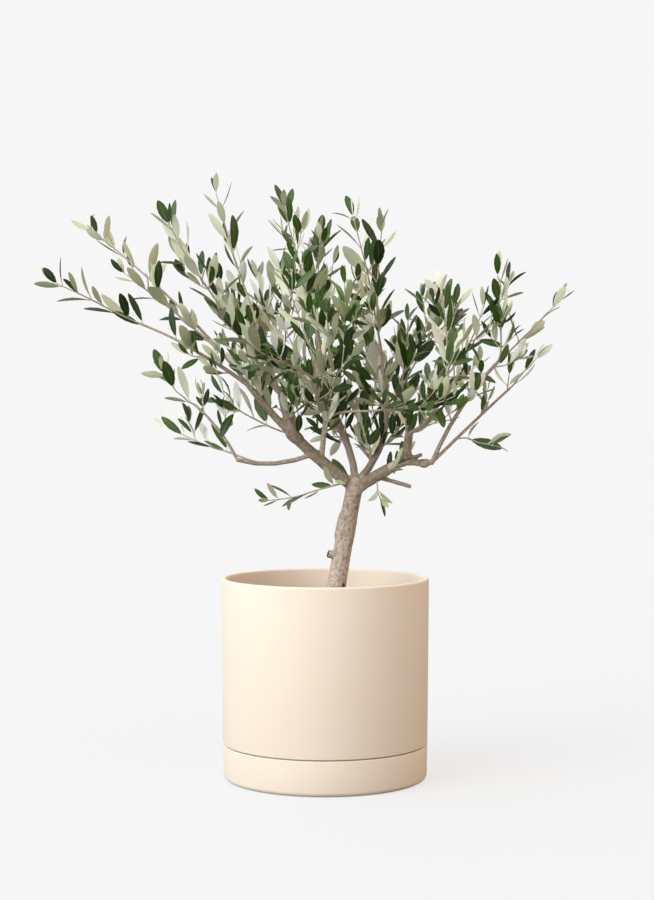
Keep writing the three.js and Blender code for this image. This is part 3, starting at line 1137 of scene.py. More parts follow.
@dataclass
class Wood:
    """Trunk and boughs: the frame's limbs grown together into one skin with the bark's relief."""

    swell: float = 0.3 * MM
    thinning: float = 0.1 * MM
    tightening: float = 1.15 * MM
    foot_height: float = 9 * MM
    voxel: float = 0.88 * MM
    smoothing: int = 8
    smoothing_factor: float = 0.6
    relief: float = 1.3 * MM
    merging: float = 3.5 * MM
    grown_radius: float = 12.5 * MM
    olive_radius: float = 6.4 * MM
    olive_reach: float = 6.2 * MM
    # Share of the olive tone kept on a bough's vertical sides; tops take all of it and undersides
    # less, so the darker olive on the tops is painted shade.
    top_shade_at_sides: float = 0.74
    station_step: float = 1.5 * MM
    station_gap: float = 50 * MM
    stations_seen: int = 24
    girth_pull: float = 0.6
    grain_slope: float = 0.25
    cuts: tuple[Scar, ...] = (
        Scar((0.001, -0.003, 0.2715), 0.0065, (-0.85, -0.2, 0.5)),
        Scar((-0.053, -0.014, 0.462), 0.0080, (-0.1, 0.0, 1.0)),
        Scar((0.105, 0.010, 0.350), 0.0060, (1.0, 0.3, -0.1)),
        Scar((0.116, -0.012, 0.392), 0.0045, (0.3, 0.0, 1.0)),
        Scar((0.041, 0.022, 0.401), 0.0045, (-1.0, 0.0, 0.5)),
        Scar((0.024, -0.010, 0.233), 0.0045),
    )
    dead: tuple[Scar, ...] = (Scar((0.095, 0.008, 0.353), 0.0260),)
    burls: tuple[Scar, ...] = (
        Scar((0.008, -0.004, 0.306), 0.0240),
        Scar((0.040, -0.010, 0.352), 0.0150),
        Scar((0.020, -0.012, 0.360), 0.0120),
        Scar((0.052, -0.006, 0.343), 0.0070),
        Scar((0.096, -0.010, 0.386), 0.0140),
        Scar((-0.036, -0.014, 0.416), 0.0150),
        Scar((0.118, -0.018, 0.381), 0.0080),
    )
    burl_height: float = 1.8 * MM
    bark_relief: BarkRelief = BarkRelief()
    lines: dict[str, CentreLine] = field(default_factory=dict)

    def measure(self) -> None:
        """Measures the centre line of every limb, from the trunk outwards."""
        low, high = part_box("trunk")
        foot = np.array(((low.x + high.x) / 2, 0.0, low.z))
        for name in nodes_of("bark"):
            origin = foot if name == "trunk" else self.lines["trunk"].places[-1]
            self.lines[name] = CentreLine.of_node(name, origin)

    def copied_limb(self, name: str) -> bpy.types.Object:
        """Copies a limb's solid, divides its faces and swells it to meet its neighbours.

        Args:
            name: The limb's node.

        Returns:
            The swollen copy.
        """
        source = frame["nodes"][name]
        piece = bpy.data.objects.new(f"{name}_wood", source.data.copy())
        piece.data.materials.clear()
        bpy.context.scene.collection.objects.link(piece)
        only(piece)
        bpy.ops.object.mode_set(mode="EDIT")
        bpy.ops.mesh.select_all(action="SELECT")
        bpy.ops.mesh.remove_doubles(threshold=0.02 * MM)
        bpy.ops.mesh.tris_convert_to_quads(face_threshold=0.7, shape_threshold=0.7)
        bpy.ops.mesh.subdivide(number_cuts=1, smoothness=0.0)
        bpy.ops.object.mode_set(mode="OBJECT")
        modify(piece, "DISPLACE", strength=self.swell, mid_level=0.0)
        return piece

    def build(self) -> bpy.types.Object:
        """Joins the limbs, skins them as one, rounds the forks and raises the bark."""
        self.measure()
        copies = [self.copied_limb(name) for name in nodes_of("bark")]
        piece = join(copies, "trunk_and_boughs")
        modify(piece, "REMESH", mode="VOXEL", voxel_size=self.voxel, adaptivity=0.0)
        modify(piece, "SMOOTH", factor=self.smoothing_factor, iterations=self.smoothing)
        self.read_grain(piece)
        for strength, middle, group in (
            (self.relief, 0.5, "relief"),
            (self.burl_height, 0.0, "burls"),
            (-self.thinning, 0.0, ""),
            (-self.tightening, 0.0, "girth"),
        ):
            modify(piece, "DISPLACE", strength=strength, mid_level=middle, vertex_group=group)
        only(piece)
        bpy.ops.object.shade_smooth()
        return piece

    def stations(self) -> list[Station]:
        """Steps along the centre lines, one limb after another."""
        stations = []
        run = 0.0
        for limb, line in enumerate(self.lines.values()):
            lengths = np.linalg.norm(np.diff(line.places, axis=0), axis=1)
            reach = np.concatenate(([0.0], np.cumsum(lengths)))
            for distance in np.arange(0, reach[-1], self.station_step):
                place = interpolated(distance, reach, line.places)
                radius = float(np.interp(distance, reach, line.radii))
                stations.append(Station(Vector(place), radius, limb, run + distance))
            run += reach[-1] + self.station_gap
        return stations

    def shares(
        self, place: Vector, tree: KDTree, stations: Sequence[Station]
    ) -> list[tuple[Station, float]]:
        """Finds the one or two limbs that a place belongs to.

        Args:
            place: A place on the wood.
            tree: The stations' places.
            stations: The stations.

        Returns:
            The nearest station of each limb and its share, which is 1 well away from a fork.
        """
        hits: dict[int, tuple[float, int]] = {}
        for _, index, distance in tree.find_n(place, self.stations_seen):
            lead = distance - self.girth_pull * stations[index].radius
            limb = stations[index].limb
            if limb not in hits or lead < hits[limb][0]:
                hits[limb] = (lead, index)
        ranked = sorted(hits.values())[:2]
        if len(ranked) == 1:
            return [(stations[ranked[0][1]], 1.0)]
        lag = ranked[1][0] - ranked[0][0]
        main = 0.5 + 0.5 * min(1.0, lag / self.merging)
        return [(stations[ranked[0][1]], main), (stations[ranked[1][1]], 1.0 - main)]

    def read_grain(self, piece: bpy.types.Object) -> None:
        """Stores each point's place along its limb, its relief, and the masks that the bark reads.

        Args:
            piece: The joined wood.
        """
        stations = self.stations()
        tree = KDTree(len(stations))
        for index, station in enumerate(stations):
            tree.insert(station.place, index)
        tree.balance()
        points = piece.data.vertices
        grain = np.empty((len(points), 3))
        names = ("olive", "hollow", "apart", "cut", "dead")
        masks = {name: np.empty(len(points)) for name in names}
        relief, burls, girths = (
            piece.vertex_groups.new(name=name) for name in ("relief", "burls", "girth")
        )
        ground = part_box("trunk")[0].z
        for point in points:
            belongs = self.shares(point.co, tree, stations)
            height = deep = olive = girth = 0.0
            for station, share in belongs:
                across = point.co - station.place
                spot = Vector((across.x, across.y, station.run + across.z * self.grain_slope))
                age = min(1.0, station.radius / self.grown_radius)
                off_middle = abs(station.radius - self.olive_radius)
                rise, sink = self.bark_relief.at(spot, age)
                height += rise * share
                deep += sink * share
                olive += max(0.0, 1.0 - off_middle / self.olive_reach) * share
                girth += age * share
                if share == belongs[0][1]:
                    grain[point.index] = spot
            above_foot = min(1.0, max(0.0, (point.co.z - ground) / self.foot_height))
            swollen = max(scar.share(point) for scar in self.burls)
            for group, weight in (
                (relief, height),
                (girths, girth * above_foot),
                (burls, swollen * swollen * (3 - 2 * swollen)),
            ):
                group.add((point.index,), weight, "REPLACE")
            # The olive tone is weighted by how far each point faces up: heavier on the tops, as
            # painted shade.
            top_shade = self.top_shade_at_sides + (1 - self.top_shade_at_sides) * point.normal.z
            masks["olive"][point.index] = olive * top_shade
            masks["hollow"][point.index] = deep
            masks["apart"][point.index] = 2.0 * belongs[0][1] - 1.0
            masks["cut"][point.index] = max(scar.share(point) for scar in self.cuts)
            masks["dead"][point.index] = max(scar.share(point) for scar in self.dead)
        kept = piece.data.attributes
        for name, values in masks.items():
            kept.new(name, "FLOAT", "POINT").data.foreach_set("value", values)
        kept.new("grain", "FLOAT_VECTOR", "POINT").data.foreach_set("vector", grain.ravel())

    def dress(self, piece: bpy.types.Object) -> None:
        """Barks the wood and settles it.

        Args:
            piece: The built wood.
        """
        piece.data.materials.append(Bark().make())
        settle(piece, nodes_of("bark"))


# ---------------------------------------------------------------------------------------------
# Leaves
# ---------------------------------------------------------------------------------------------


@dataclass
class LeafShape:
    """One olive leaf of length and width one, modelled once: blade, vein, margins and petiole."""

    rows: int = 6
    petiole: float = 0.10
    vein: float = 0.06
    margin: float = 0.07
    crown: float = 0.045
    keel: float = 0.060
    fullness: float = 0.62
    drawn_in: float = 0.22
    sunken_vein: float = 0.4
    stalk_radius: float = 0.055
    aside: float = 2.0
    points: np.ndarray = field(init=False)
    faces: list[list[int]] = field(init=False)
    finish: list[int] = field(init=False)

    def half_width(self, fraction: float) -> float:
        """The outline: a long oval, drawn in a little more to the base than to the blunt tip.

        Args:
            fraction: From 0 at the blade's base to 1 at its tip.

        Returns:
            Half the width there, as a share of the full half width.
        """
        if not 0 < fraction < 1:
            return 0.0
        oval = math.sin(math.pi * fraction) ** self.fullness
        return oval * (1 - self.drawn_in * (1 - fraction) ** 2)

    def row_height(self, row: int) -> float:
        """The place of a row along the blade, closer together towards both ends."""
        return 0.5 - 0.5 * math.cos(math.pi * row / self.rows)

    def sheet(self, columns: int, name: str) -> bpy.types.Object:
        """Adds one side of the blade as a grid and draws its rows in to the outline.

        Args:
            columns: How many strips lie side by side.
            name: The object's name.

        Returns:
            The sheet.
        """
        deselect_all()
        bpy.ops.mesh.primitive_grid_add(
            x_subdivisions=columns, y_subdivisions=self.rows, size=1, location=(0, 0.5, 0)
        )
        piece = bpy.context.active_object
        piece.name = name
        bpy.ops.object.transform_apply(location=True)
        bpy.ops.object.mode_set(mode="EDIT")
        for row in range(self.rows + 1):
            even = row / self.rows
            height = self.row_height(row)
            select_verts(piece, lambda place, even=even: abs(place.y - even) < 0.5e-3)
            share = max(self.half_width(height), 1e-5)
            bpy.ops.transform.resize(value=(share, 1, 1), center_override=(0, even, 0))
            bpy.ops.transform.translate(value=(0, height - even + self.aside, 0))
        bpy.ops.mesh.select_all(action="SELECT")
        bpy.ops.transform.translate(value=(0, -self.aside, 0))
        bpy.ops.object.mode_set(mode="OBJECT")
        return piece

    def shape_upper(self, piece: bpy.types.Object) -> None:
        """Moves the upper sheet's columns: narrow margins, a crowned blade and a sunken vein.

        Args:
            piece: The upper sheet, of five strips.
        """
        for point in piece.data.vertices:
            half = max(self.half_width(point.co.y), 1e-5) / 2
            column = round((point.co.x / half + 1) * 2.5)
            side = -1 if column < 2.5 else 1
            if column in (1, 4):
                point.co.x = side * half * (1 - 2 * self.margin)
                point.co.z = self.crown * self.half_width(point.co.y)
            elif column in (2, 3):
                point.co.x = side * half * self.vein
                point.co.z = self.sunken_vein * self.crown * self.half_width(point.co.y)

    def build(self) -> None:
        """Models the leaf and keeps its points, faces and finishes for the sprays."""
        upper = self.sheet(5, "leaf_upper")
        self.shape_upper(upper)
        lower = self.sheet(2, "leaf_lower")
        for point in lower.data.vertices:
            if abs(point.co.x) < 1e-4:
                point.co.z = -self.keel * self.half_width(point.co.y)
        bpy.ops.mesh.primitive_cylinder_add(
            vertices=4,
            radius=self.stalk_radius,
            depth=self.petiole * 1.5,
            location=(0, -self.petiole * 0.25, 0),
            rotation=(math.pi / 2, 0, 0),
        )
        stalk = bpy.context.active_object
        bpy.ops.object.transform_apply(location=True, rotation=True)
        only(lower)
        bpy.ops.object.mode_set(mode="EDIT")
        bpy.ops.mesh.select_all(action="SELECT")
        bpy.ops.mesh.flip_normals()
        bpy.ops.object.mode_set(mode="OBJECT")
        blade = join([upper, lower], "leaf_blade")
        bpy.ops.object.mode_set(mode="EDIT")
        bpy.ops.mesh.select_all(action="SELECT")
        bpy.ops.mesh.remove_doubles(threshold=1e-3)
        bpy.ops.object.mode_set(mode="OBJECT")
        leaf = join([blade, stalk], "leaf")
        self.points = np.array([point.co for point in leaf.data.vertices])
        self.faces = [list(face.vertices) for face in leaf.data.polygons]
        self.finish = [self.finish_of(face) for face in leaf.data.polygons]
        bpy.data.objects.remove(leaf)

    def finish_of(self, face: bpy.types.MeshPolygon) -> int:
        """Tells a face's finish by its place.

        Args:
            face: A face of the leaf.

        Returns:
            0 for the upper side, 1 for vein and margin, 2 for the underside and the petiole.
        """
        if face.center.y < 0 or abs(face.normal.y) > 0.95 or face.normal.z < 0:
            return 2
        half = max(self.half_width(face.center.y), 1e-5) / 2
        across = abs(face.center.x) / half
        return 1 if across > 1 - self.margin * 1.5 or across < 0.5 * self.vein else 0


@dataclass
class Leaf:
    """One leaf's place and posture."""

    place: np.ndarray
    forward: np.ndarray
    upward: np.ndarray
    length: float
    width: float
    arch: float
    fold: float
    tone: Tone

    def laid(self, shape: np.ndarray) -> np.ndarray:
        """Bends the model leaf and puts it in place.

        Args:
            shape: The model leaf's points.

        Returns:
            The leaf's points in metres.
        """
        forward = unit(self.forward)
        upward = unit(self.upward - forward * float(np.dot(self.upward, forward)))
        side = np.cross(forward, upward)
        across = shape[:, 0] * self.width
        turn = self.arch * np.clip(shape[:, 1], 0, 1)
        arch = self.arch if abs(self.arch) > 1e-4 else 1e-4
        reach = np.where(shape[:, 1] < 0, shape[:, 1], np.sin(turn) / arch) * self.length
        sink = (1 - np.cos(turn)) / arch * self.length
        height = shape[:, 2] * self.width + self.fold * np.abs(across) - sink
        return self.place + sum(
            np.outer(measure, axis)
            for measure, axis in ((across, side), (reach, forward), (height, upward))
        )


# ---------------------------------------------------------------------------------------------
# Shoots
# ---------------------------------------------------------------------------------------------


@dataclass
class Path:
    """A shoot's run: points along it, with a radius at each."""

    points: np.ndarray
    radii: np.ndarray

    @property
    def reach(self) -> np.ndarray:
        """The distance of each point from the start."""
        lengths = np.linalg.norm(np.diff(self.points, axis=0), axis=1)
        return np.concatenate(([0.0], np.cumsum(lengths)))

    def at(self, distance: float) -> tuple[np.ndarray, np.ndarray, float]:
        """Gives the place, direction and radius at a distance from the start.

        Args:
            distance: The distance in metres.

        Returns:
            The place, the direction and the radius.
        """
        reach = self.reach
        behind, place, ahead = (
            interpolated(distance + step, reach, self.points) for step in (-NEAR_BY, 0.0, NEAR_BY)
        )
        return place, unit(ahead - behind), float(np.interp(distance, reach, self.radii))


@dataclass(frozen=True)
class Habit:
    """How a shoot grows: its internodes, its leaves and its side shoots.

    Spread is the angle of the leaves to the shoot, lift how far they turn up, dropped the share
    that has fallen, bare the stretch without leaves, and averted how far their upper sides look
    to the back. Tones are the shares of the leaf tones.
    """

    internode: float = 18.5 * MM
    leaf: float = 38 * MM
    slimness: float = 2.95
    spread: float = 0.80
    lift: float = 0.55
    dropped: float = 0.10
    side_shoots: float = 0.42
    side_length: float = 1.0
    bare: float = 0.0
    averted: float = 0.0
    tones: tuple[float, ...] = (0.36, 0.28, 0.20, 0.16, 0.0)


@dataclass
class Spray:
    """A foliage mass and the limb that its leading shoot springs from."""

    limb: str
    at: float = 1.0
    habit: Habit = Habit()


DENSE = Habit(internode=17.5 * MM, side_shoots=0.48, side_length=1.1)
LEAN = Habit(internode=20 * MM, side_shoots=0.20, dropped=0.14)
SLIGHT = Habit(internode=21 * MM, side_shoots=0.0, dropped=0.12, leaf=36 * MM)
BRIGHT = Habit(
    internode=16.5 * MM, leaf=36 * MM, side_shoots=0.5, tones=(0.12, 0.20, 0.14, 0.14, 0.40)
)
HANGING = Habit(
    internode=11 * MM,
    leaf=30 * MM,
    slimness=2.5,
    spread=0.62,
    lift=-0.15,
    dropped=0.0,
    side_shoots=0.0,
    averted=0.5,
    tones=(1.0, 0.0, 0.0, 0.0, 0.0),
)
LOW = Habit(
    internode=17 * MM,
    leaf=31 * MM,
    side_shoots=0.0,
    bare=-60 * MM,
    averted=0.6,
    tones=(0.35, 0.40, 0.15, 0.10, 0.0),
)
SPUR = Habit(
    internode=15 * MM, leaf=33 * MM, dropped=0.15, tones=(0.30, 0.28, 0.22, 0.18, 0.02)
)

SPRAYS = {
    "far_left_spray": Spray("left_long_shoot", 1.0, SLIGHT),
    "left_middle_spray": Spray("left_upper_bough", 1.0, LEAN),
    "left_high_spray": Spray("left_upper_bough", 0.95, LEAN),
    "left_crest_spray": Spray("left_pruned_limb", 1.0),
    "left_shoulder_spray": Spray("left_pruned_limb", 0.95, DENSE),
    "tall_spray": Spray("left_pruned_limb", 1.0, LEAN),
    "tall_foot_spray": Spray("middle_left_bough", 1.0, DENSE),
    "crest_spray": Spray("left_inner_limb"),
    "crest_front_spray": Spray("front_limb"),
    "centre_spray": Spray("middle_left_bough"),
    "right_crest_spray": Spray("middle_right_bough"),
    "right_crest_front_spray": Spray("middle_right_bough", 1.0, LEAN),
    "centre_front_spray": Spray("left_inner_limb", 1.0, BRIGHT),
    "low_front_spray": Spray("front_limb"),
    "middle_left_spray": Spray("left_inner_limb", 1.0, DENSE),
    "middle_right_spray": Spray("middle_right_bough", 1.0, DENSE),
    "right_front_spray": Spray("front_right_limb"),
    "near_right_spray": Spray("left_inner_limb", 0.7),
    "centre_right_spray": Spray("middle_right_bough", 1.0, DENSE),
    "right_middle_spray": Spray("right_upright_limb", 1.0, DENSE),
    "right_high_spray": Spray("right_long_limb"),
    "right_outer_spray": Spray("right_long_limb", 1.0, SLIGHT),
    "low_right_spray": Spray("right_low_limb", 1.0, SLIGHT),
    "lower_right_spray": Spray("right_low_limb", 0.28, SLIGHT),
    "lower_left_spray": Spray("lower_left_shoot", 1.0),
    "lower_left_back_spray": Spray("lower_left_limb", 0.6, LEAN),
    "inner_left_spray": Spray("left_bough", 0.96, LEAN),
    "low_spray": Spray("trunk", 0.96, LOW),
    "low_centre_spray": Spray("middle_right_bough", 0.4, LEAN),
    "fork_spray": Spray("right_bough", 0.3, HANGING),
    "back_left_spray": Spray("back_left_bough", 1.0, DENSE),
    "back_left_low_spray": Spray("back_left_bough", 0.95),
    "back_high_spray": Spray("back_left_bough", 1.0, DENSE),
    "back_centre_spray": Spray("back_right_bough", 1.0, DENSE),
    "back_right_spray": Spray("back_right_bough", 1.0, DENSE),
    "back_right_low_spray": Spray("back_right_bough", 0.95),
    "front_left_spray": Spray("front_limb", 1.0, DENSE),
    "front_spray": Spray("front_limb", 0.95),
}


@dataclass
class Spurs:
    """Short leafy shoots straight on a bough: how many, where along it, how long, leaning where."""

    count: int
    low: float
    high: float
    length: float = 42 * MM
    lean: tuple[float, float, float] = (0.0, -0.3, 0.3)


SPURS = {
    "left_inner_limb": Spurs(4, 0.35, 1.0),
    "left_upper_bough": Spurs(4, 0.25, 1.0),
    "left_pruned_limb": Spurs(3, 0.2, 0.85),
    "left_long_shoot": Spurs(3, 0.15, 0.95, 26 * MM),
    "left_bough": Spurs(2, 0.7, 1.0, 34 * MM, (0.0, 0.4, 0.3)),
    "middle_left_bough": Spurs(6, 0.30, 1.0),
    "middle_right_bough": Spurs(5, 0.30, 1.0),
    "back_left_bough": Spurs(4, 0.2, 1.0, 42 * MM, (0.0, 0.3, 0.3)),
    "back_right_bough": Spurs(4, 0.2, 1.0, 42 * MM, (0.0, 0.3, 0.3)),
    "front_limb": Spurs(5, 0.15, 1.0),
    "front_right_limb": Spurs(4, 0.1, 1.0),
    "right_bough": Spurs(2, 0.25, 0.75, 26 * MM, (0.0, 0.5, -0.2)),
    "right_upright_limb": Spurs(3, 0.4, 1.0),
    "right_long_limb": Spurs(5, 0.3, 1.0, 30 * MM),
    "right_low_limb": Spurs(3, 0.45, 1.0, 22 * MM),
    "lower_left_shoot": Spurs(2, 0.3, 0.9, 24 * MM),
}


@dataclass
class Crown:
    """All the sprays: shoots that grow on from the limbs, and the leaves that they bear."""

    wood: Wood
    leaf_shape: LeafShape
    shoot_sides: int = 7
    step: float = 4 * MM
    waves: tuple[float, ...] = (1.5, 2.7, 4.3)
    wander: float = 2.2 * MM
    slimmest: float = 0.55 * MM
    base_radius: float = 0.65 * MM
    base_growth: float = 5.0 * MM
    taper: float = 0.85
    tip_gap: float = 0.62
    limb_pull: float = 0.5
    knobbiness: float = 0.10
    decussation: float = math.pi / 2
    unevenness: float = 0.20
    leaf_length: Span = (0.74, 1.16)
    leaf_slimness: Span = (0.78, 1.24)
    leaf_angle: Span = (0.72, 1.28)
    leaf_lift: Span = (0.5, 1.2)
    leaf_facing: float = 0.35
    stray: float = 0.10
    facing_stray: float = 0.16
    twist: float = 0.50
    steep: float = 0.30
    turned_over: float = 0.46
    arch: Span = (0.12, 0.30)
    fold: Span = (0.02, 0.30)
    petiole: float = 0.085
    tip_leaf: float = 0.713
    tip_spread: float = 0.42
    side_leaf: float = 0.86
    side_steps: int = 7
    side_radius: float = 1.1 * MM
    side_least: float = 12 * MM
    leaf_crease: float = math.radians(50)
    rng: np.random.Generator = field(default_factory=lambda: np.random.default_rng(SEED))
    leaves: list[Leaf] = field(default_factory=list)
    grown: list[Path] = field(default_factory=list)
    young: list[Path] = field(default_factory=list)

    def leader(self, mass: str, spray: Spray) -> tuple[Path, float]:
        """Runs a mass's leading shoot from its limb, through the middle of the mass, to its tip.

        Args:
            mass: The mass's node.
            spray: What it springs from.

        Returns:
            The shoot's path, and the distance at which it enters the mass.
        """
        start, limb_radius, heading = self.wood.lines[spray.limb].at(spray.at)
        points = points_of(mass)
        tip = points[np.argmax(np.linalg.norm(points - start, axis=1))]
        axis = unit(tip - start)
        along = (points - start) @ axis
        length = float(np.linalg.norm(tip - start))
        bow, weight = np.zeros(3), 0.0
        for fraction in np.linspace(along.min() / length + 0.08, 0.9, 9):
            near = points[np.abs(along / length - fraction) < 0.10]
            if len(near) > 4:
                middle = (near.max(axis=0) + near.min(axis=0)) / 2
                lift = 4 * fraction * (1 - fraction)
                bow += (middle - (start + axis * length * fraction)) * lift
                weight += lift * lift
        bow = bow / max(weight, 1e-6)
        end = 1.0 - self.tip_gap * spray.habit.leaf / length
        fractions = np.linspace(0, end, max(6, int(length * end / self.step)))
        lift = 4 * fractions * (1 - fractions)
        line = start + np.outer(fractions, axis * length) + np.outer(lift, bow)
        line += self.sway(len(fractions), fractions / end)
        pull = fractions * (1 - fractions / end) ** 3 * length
        line += np.outer(pull, heading - axis) * self.limb_pull
        base = min(limb_radius * 0.92, self.base_radius + self.base_growth * length)
        radii = self.slimmest + (base - self.slimmest) * (1 - fractions / end) ** self.taper
        return Path(line, radii), max(0.0, float(along.min()))

    def sway(self, count: int, fractions: np.ndarray) -> np.ndarray:
        """Gives a slight seeded waviness that leaves a shoot's two ends in place.

        Args:
            count: How many points.
            fractions: Their places along the shoot, from 0 to 1.

        Returns:
            One offset for each point.
        """
        offsets = np.zeros((count, 3))
        for axis in range(3):
            for waves in self.waves:
                phase = self.rng.uniform(0, 2 * math.pi)
                size = self.wander * self.rng.uniform(0.3, 1.0) / waves
                offsets[:, axis] += size * np.sin(waves * math.pi * fractions + phase)
        return offsets * (np.sin(math.pi * fractions) ** 0.7)[:, None]

    def deal_tone(self, habit: Habit) -> Tone:
        """Deals a shoot its leaf tone."""
        return list(Tone)[int(self.rng.choice(len(Tone), p=habit.tones))]

    def bear_leaf(
        self,
        place: np.ndarray,
        heading: np.ndarray,
        away: np.ndarray,
        habit: Habit,
        size: float,
        spread: float,
        tone: Tone,
    ) -> None:
        """Grows one leaf at a node of a shoot.

        Args:
            place: The node's place.
            heading: The shoot's direction there.
            away: The side of the shoot that the leaf stands on.
            habit: The shoot's habit.
            size: The leaf's size as a share of the habit's.
            spread: The angle between leaf and shoot.
            tone: The leaf's tone.
        """
        rng = self.rng
        angle = spread * rng.uniform(*self.leaf_angle)
        forward = heading * math.cos(angle) + away * math.sin(angle)
        lifted = forward + UP * habit.lift * rng.uniform(*self.leaf_lift)
        forward = unit(lifted + rng.normal(0, self.stray, 3))
        inner = heading * math.sin(angle) - away * math.cos(angle)
        upward = inner + UP * self.leaf_facing + np.array((0.0, habit.averted, 0.0))
        upward = unit(upward + rng.normal(0, self.facing_stray, 3))
        twist = rng.normal(0, self.twist)
        if forward[2] > self.steep and rng.uniform() < self.turned_over:
            twist += math.pi
        upward = turned_about(upward, forward, twist)
        length = habit.leaf * size * rng.uniform(*self.leaf_length)
        leaf = Leaf(
            place=place + away * 0.4 * MM + forward * self.petiole * length,
            forward=forward,
            upward=upward,
            length=length,
            width=length / (habit.slimness * rng.uniform(*self.leaf_slimness)),
            arch=rng.normal(*self.arch),
            fold=rng.uniform(*self.fold),
            tone=tone,
        )
        self.leaves.append(leaf)

    def leafy(
        self, path: Path, habit: Habit, start: float, tone: Tone, scale: float = 1.0
    ) -> list[tuple[float, np.ndarray]]:
        """Bears opposite pairs of leaves along a shoot, each pair square to the last.

        Args:
            path: The shoot.
            habit: Its habit.
            start: The distance where its leaves begin.
            tone: Its leaves' tone.
            scale: The size of its leaves as a share of the habit's.

        Returns:
            The nodes, as distance and side, for the side shoots.
        """
        length = path.reach[-1]
        nodes = []
        turn = self.rng.uniform(0, math.pi)
        distance = start
        side = None
        while distance < length - 2 * MM:
            place, heading, radius = path.at(distance)
            if side is None:
                side = turned_about(side_of(heading), heading, turn)
            side = unit(side - heading * float(np.dot(side, heading)))
            share = (distance - start) / max(length - start, 1e-6)
            size = scale * (0.74 + 0.30 * math.sin(math.pi * min(1.0, 0.25 + share * 0.75)))
            for away in (side, -side):
                if self.rng.uniform() > habit.dropped * (1.6 - share):
                    node = place + away * radius * 0.7
                    self.bear_leaf(node, heading, away, habit, size, habit.spread, tone)
            nodes.append((distance, side.copy()))
            turn = self.decussation + self.rng.normal(0, self.unevenness)
            side = turned_about(side, heading, turn)
            distance += habit.internode * scale * self.rng.uniform(0.8, 1.2) * (1.1 - 0.3 * share)
        place, heading, radius = path.at(length)
        for away in (side, -side):
            size = self.tip_leaf * scale
            self.bear_leaf(place, heading, away, habit, size, self.tip_spread, tone)
        return nodes

    def side_shoot(
        self,
        parent: Path,
        distance: float,
        away: np.ndarray,
        habit: Habit,
        length: float,
        inside: Callable[[np.ndarray], bool],
    ) -> None:
        """Grows a short leafy side shoot from a node, kept inside its mass.

        Args:
            parent: The shoot it springs from.
            distance: Where on that shoot.
            away: To which side.
            habit: The spray's habit.
            length: Its full length.
            inside: Tells whether a place lies inside the mass.
        """
        place, heading, radius = parent.at(distance)
        first = unit(heading * 0.62 + away * 0.78)
        last = unit(first + UP * 0.55 + heading * 0.35)
        points = [place]
        for index in range(self.side_steps):
            share = index / (self.side_steps - 1)
            bent = unit(first * (1 - share) + last * share)
            points.append(points[-1] + bent * length / self.side_steps)
            if index > 2 and not inside(points[-1]):
                break
        base = min(radius * 0.7, self.side_radius)
        path = Path(np.array(points), np.linspace(base, self.slimmest * 0.9, len(points)))
        if path.reach[-1] < self.side_least:
            return
        self.young.append(path)
        self.leafy(path, habit, 0.45 * habit.internode, self.deal_tone(habit), self.side_leaf)

    def grow_mass(self, mass: str, spray: Spray) -> None:
        """Grows one foliage mass: its leader, its leaves and its side shoots.

        Args:
            mass: The mass's node.
            spray: What it springs from and its habit.
        """
        habit = spray.habit
        path, entry = self.leader(mass, spray)
        self.grown.append(path)
        body = frame["nodes"][mass].data
        tree = BVHTree.FromPolygons(
            [point.co for point in body.vertices], [face.vertices for face in body.polygons]
        )

        def inside(place: np.ndarray) -> bool:
            """Tells whether a place lies inside the mass."""
            near, normal, _, _ = tree.find_nearest(Vector(place))
            return (Vector(place) - near).dot(normal) < 2 * MM

        start = max(entry + habit.bare, 8 * MM)
        nodes = self.leafy(path, habit, start, self.deal_tone(habit))
        points = points_of(mass)
        middle = (points.max(axis=0) + points.min(axis=0)) / 2
        across = np.linalg.norm(np.cross(points - middle, path.at(start)[1]), axis=1)
        girth = float(np.percentile(across, 60))
        for distance, side in nodes[: int(len(nodes) * 0.8)]:
            for away in (side, -side):
                if self.rng.uniform() < habit.side_shoots:
                    length = girth * habit.side_length * self.rng.uniform(0.75, 1.25)
                    self.side_shoot(path, distance, away, habit, length, inside)

    def grow_spurs(self, limb: str, spurs: Spurs) -> None:
        """Grows short leafy shoots straight on a bough, low in the crown.

        Args:
            limb: The bough's node.
            spurs: How many, where and how long.
        """
        line = self.wood.lines[limb]
        parent = Path(line.places, line.radii)
        for index in range(spurs.count):
            share = (index + self.rng.uniform(0.2, 0.8)) / spurs.count
            distance = parent.reach[-1] * (spurs.low + (spurs.high - spurs.low) * share)
            heading = parent.at(distance)[1]
            away = turned_about(side_of(heading), heading, self.rng.uniform(0, 2 * math.pi))
            away = away + np.array(spurs.lean)
            away = unit(away - heading * float(np.dot(away, heading)))
            length = spurs.length * self.rng.uniform(0.7, 1.3)
            self.side_shoot(parent, distance, away, SPUR, length, lambda place: True)

    def grow(self) -> None:
        """Grows every foliage mass of the frame, and the spurs on its boughs."""
        for mass in nodes_of("foliage"):
            self.grow_mass(mass, SPRAYS[mass])
        for limb, spurs in SPURS.items():
            self.grow_spurs(limb, spurs)
        counts = (len(self.leaves), len(self.grown), len(self.young))
        LOG.info("%d leaves, %d leaders, %d side shoots", *counts)

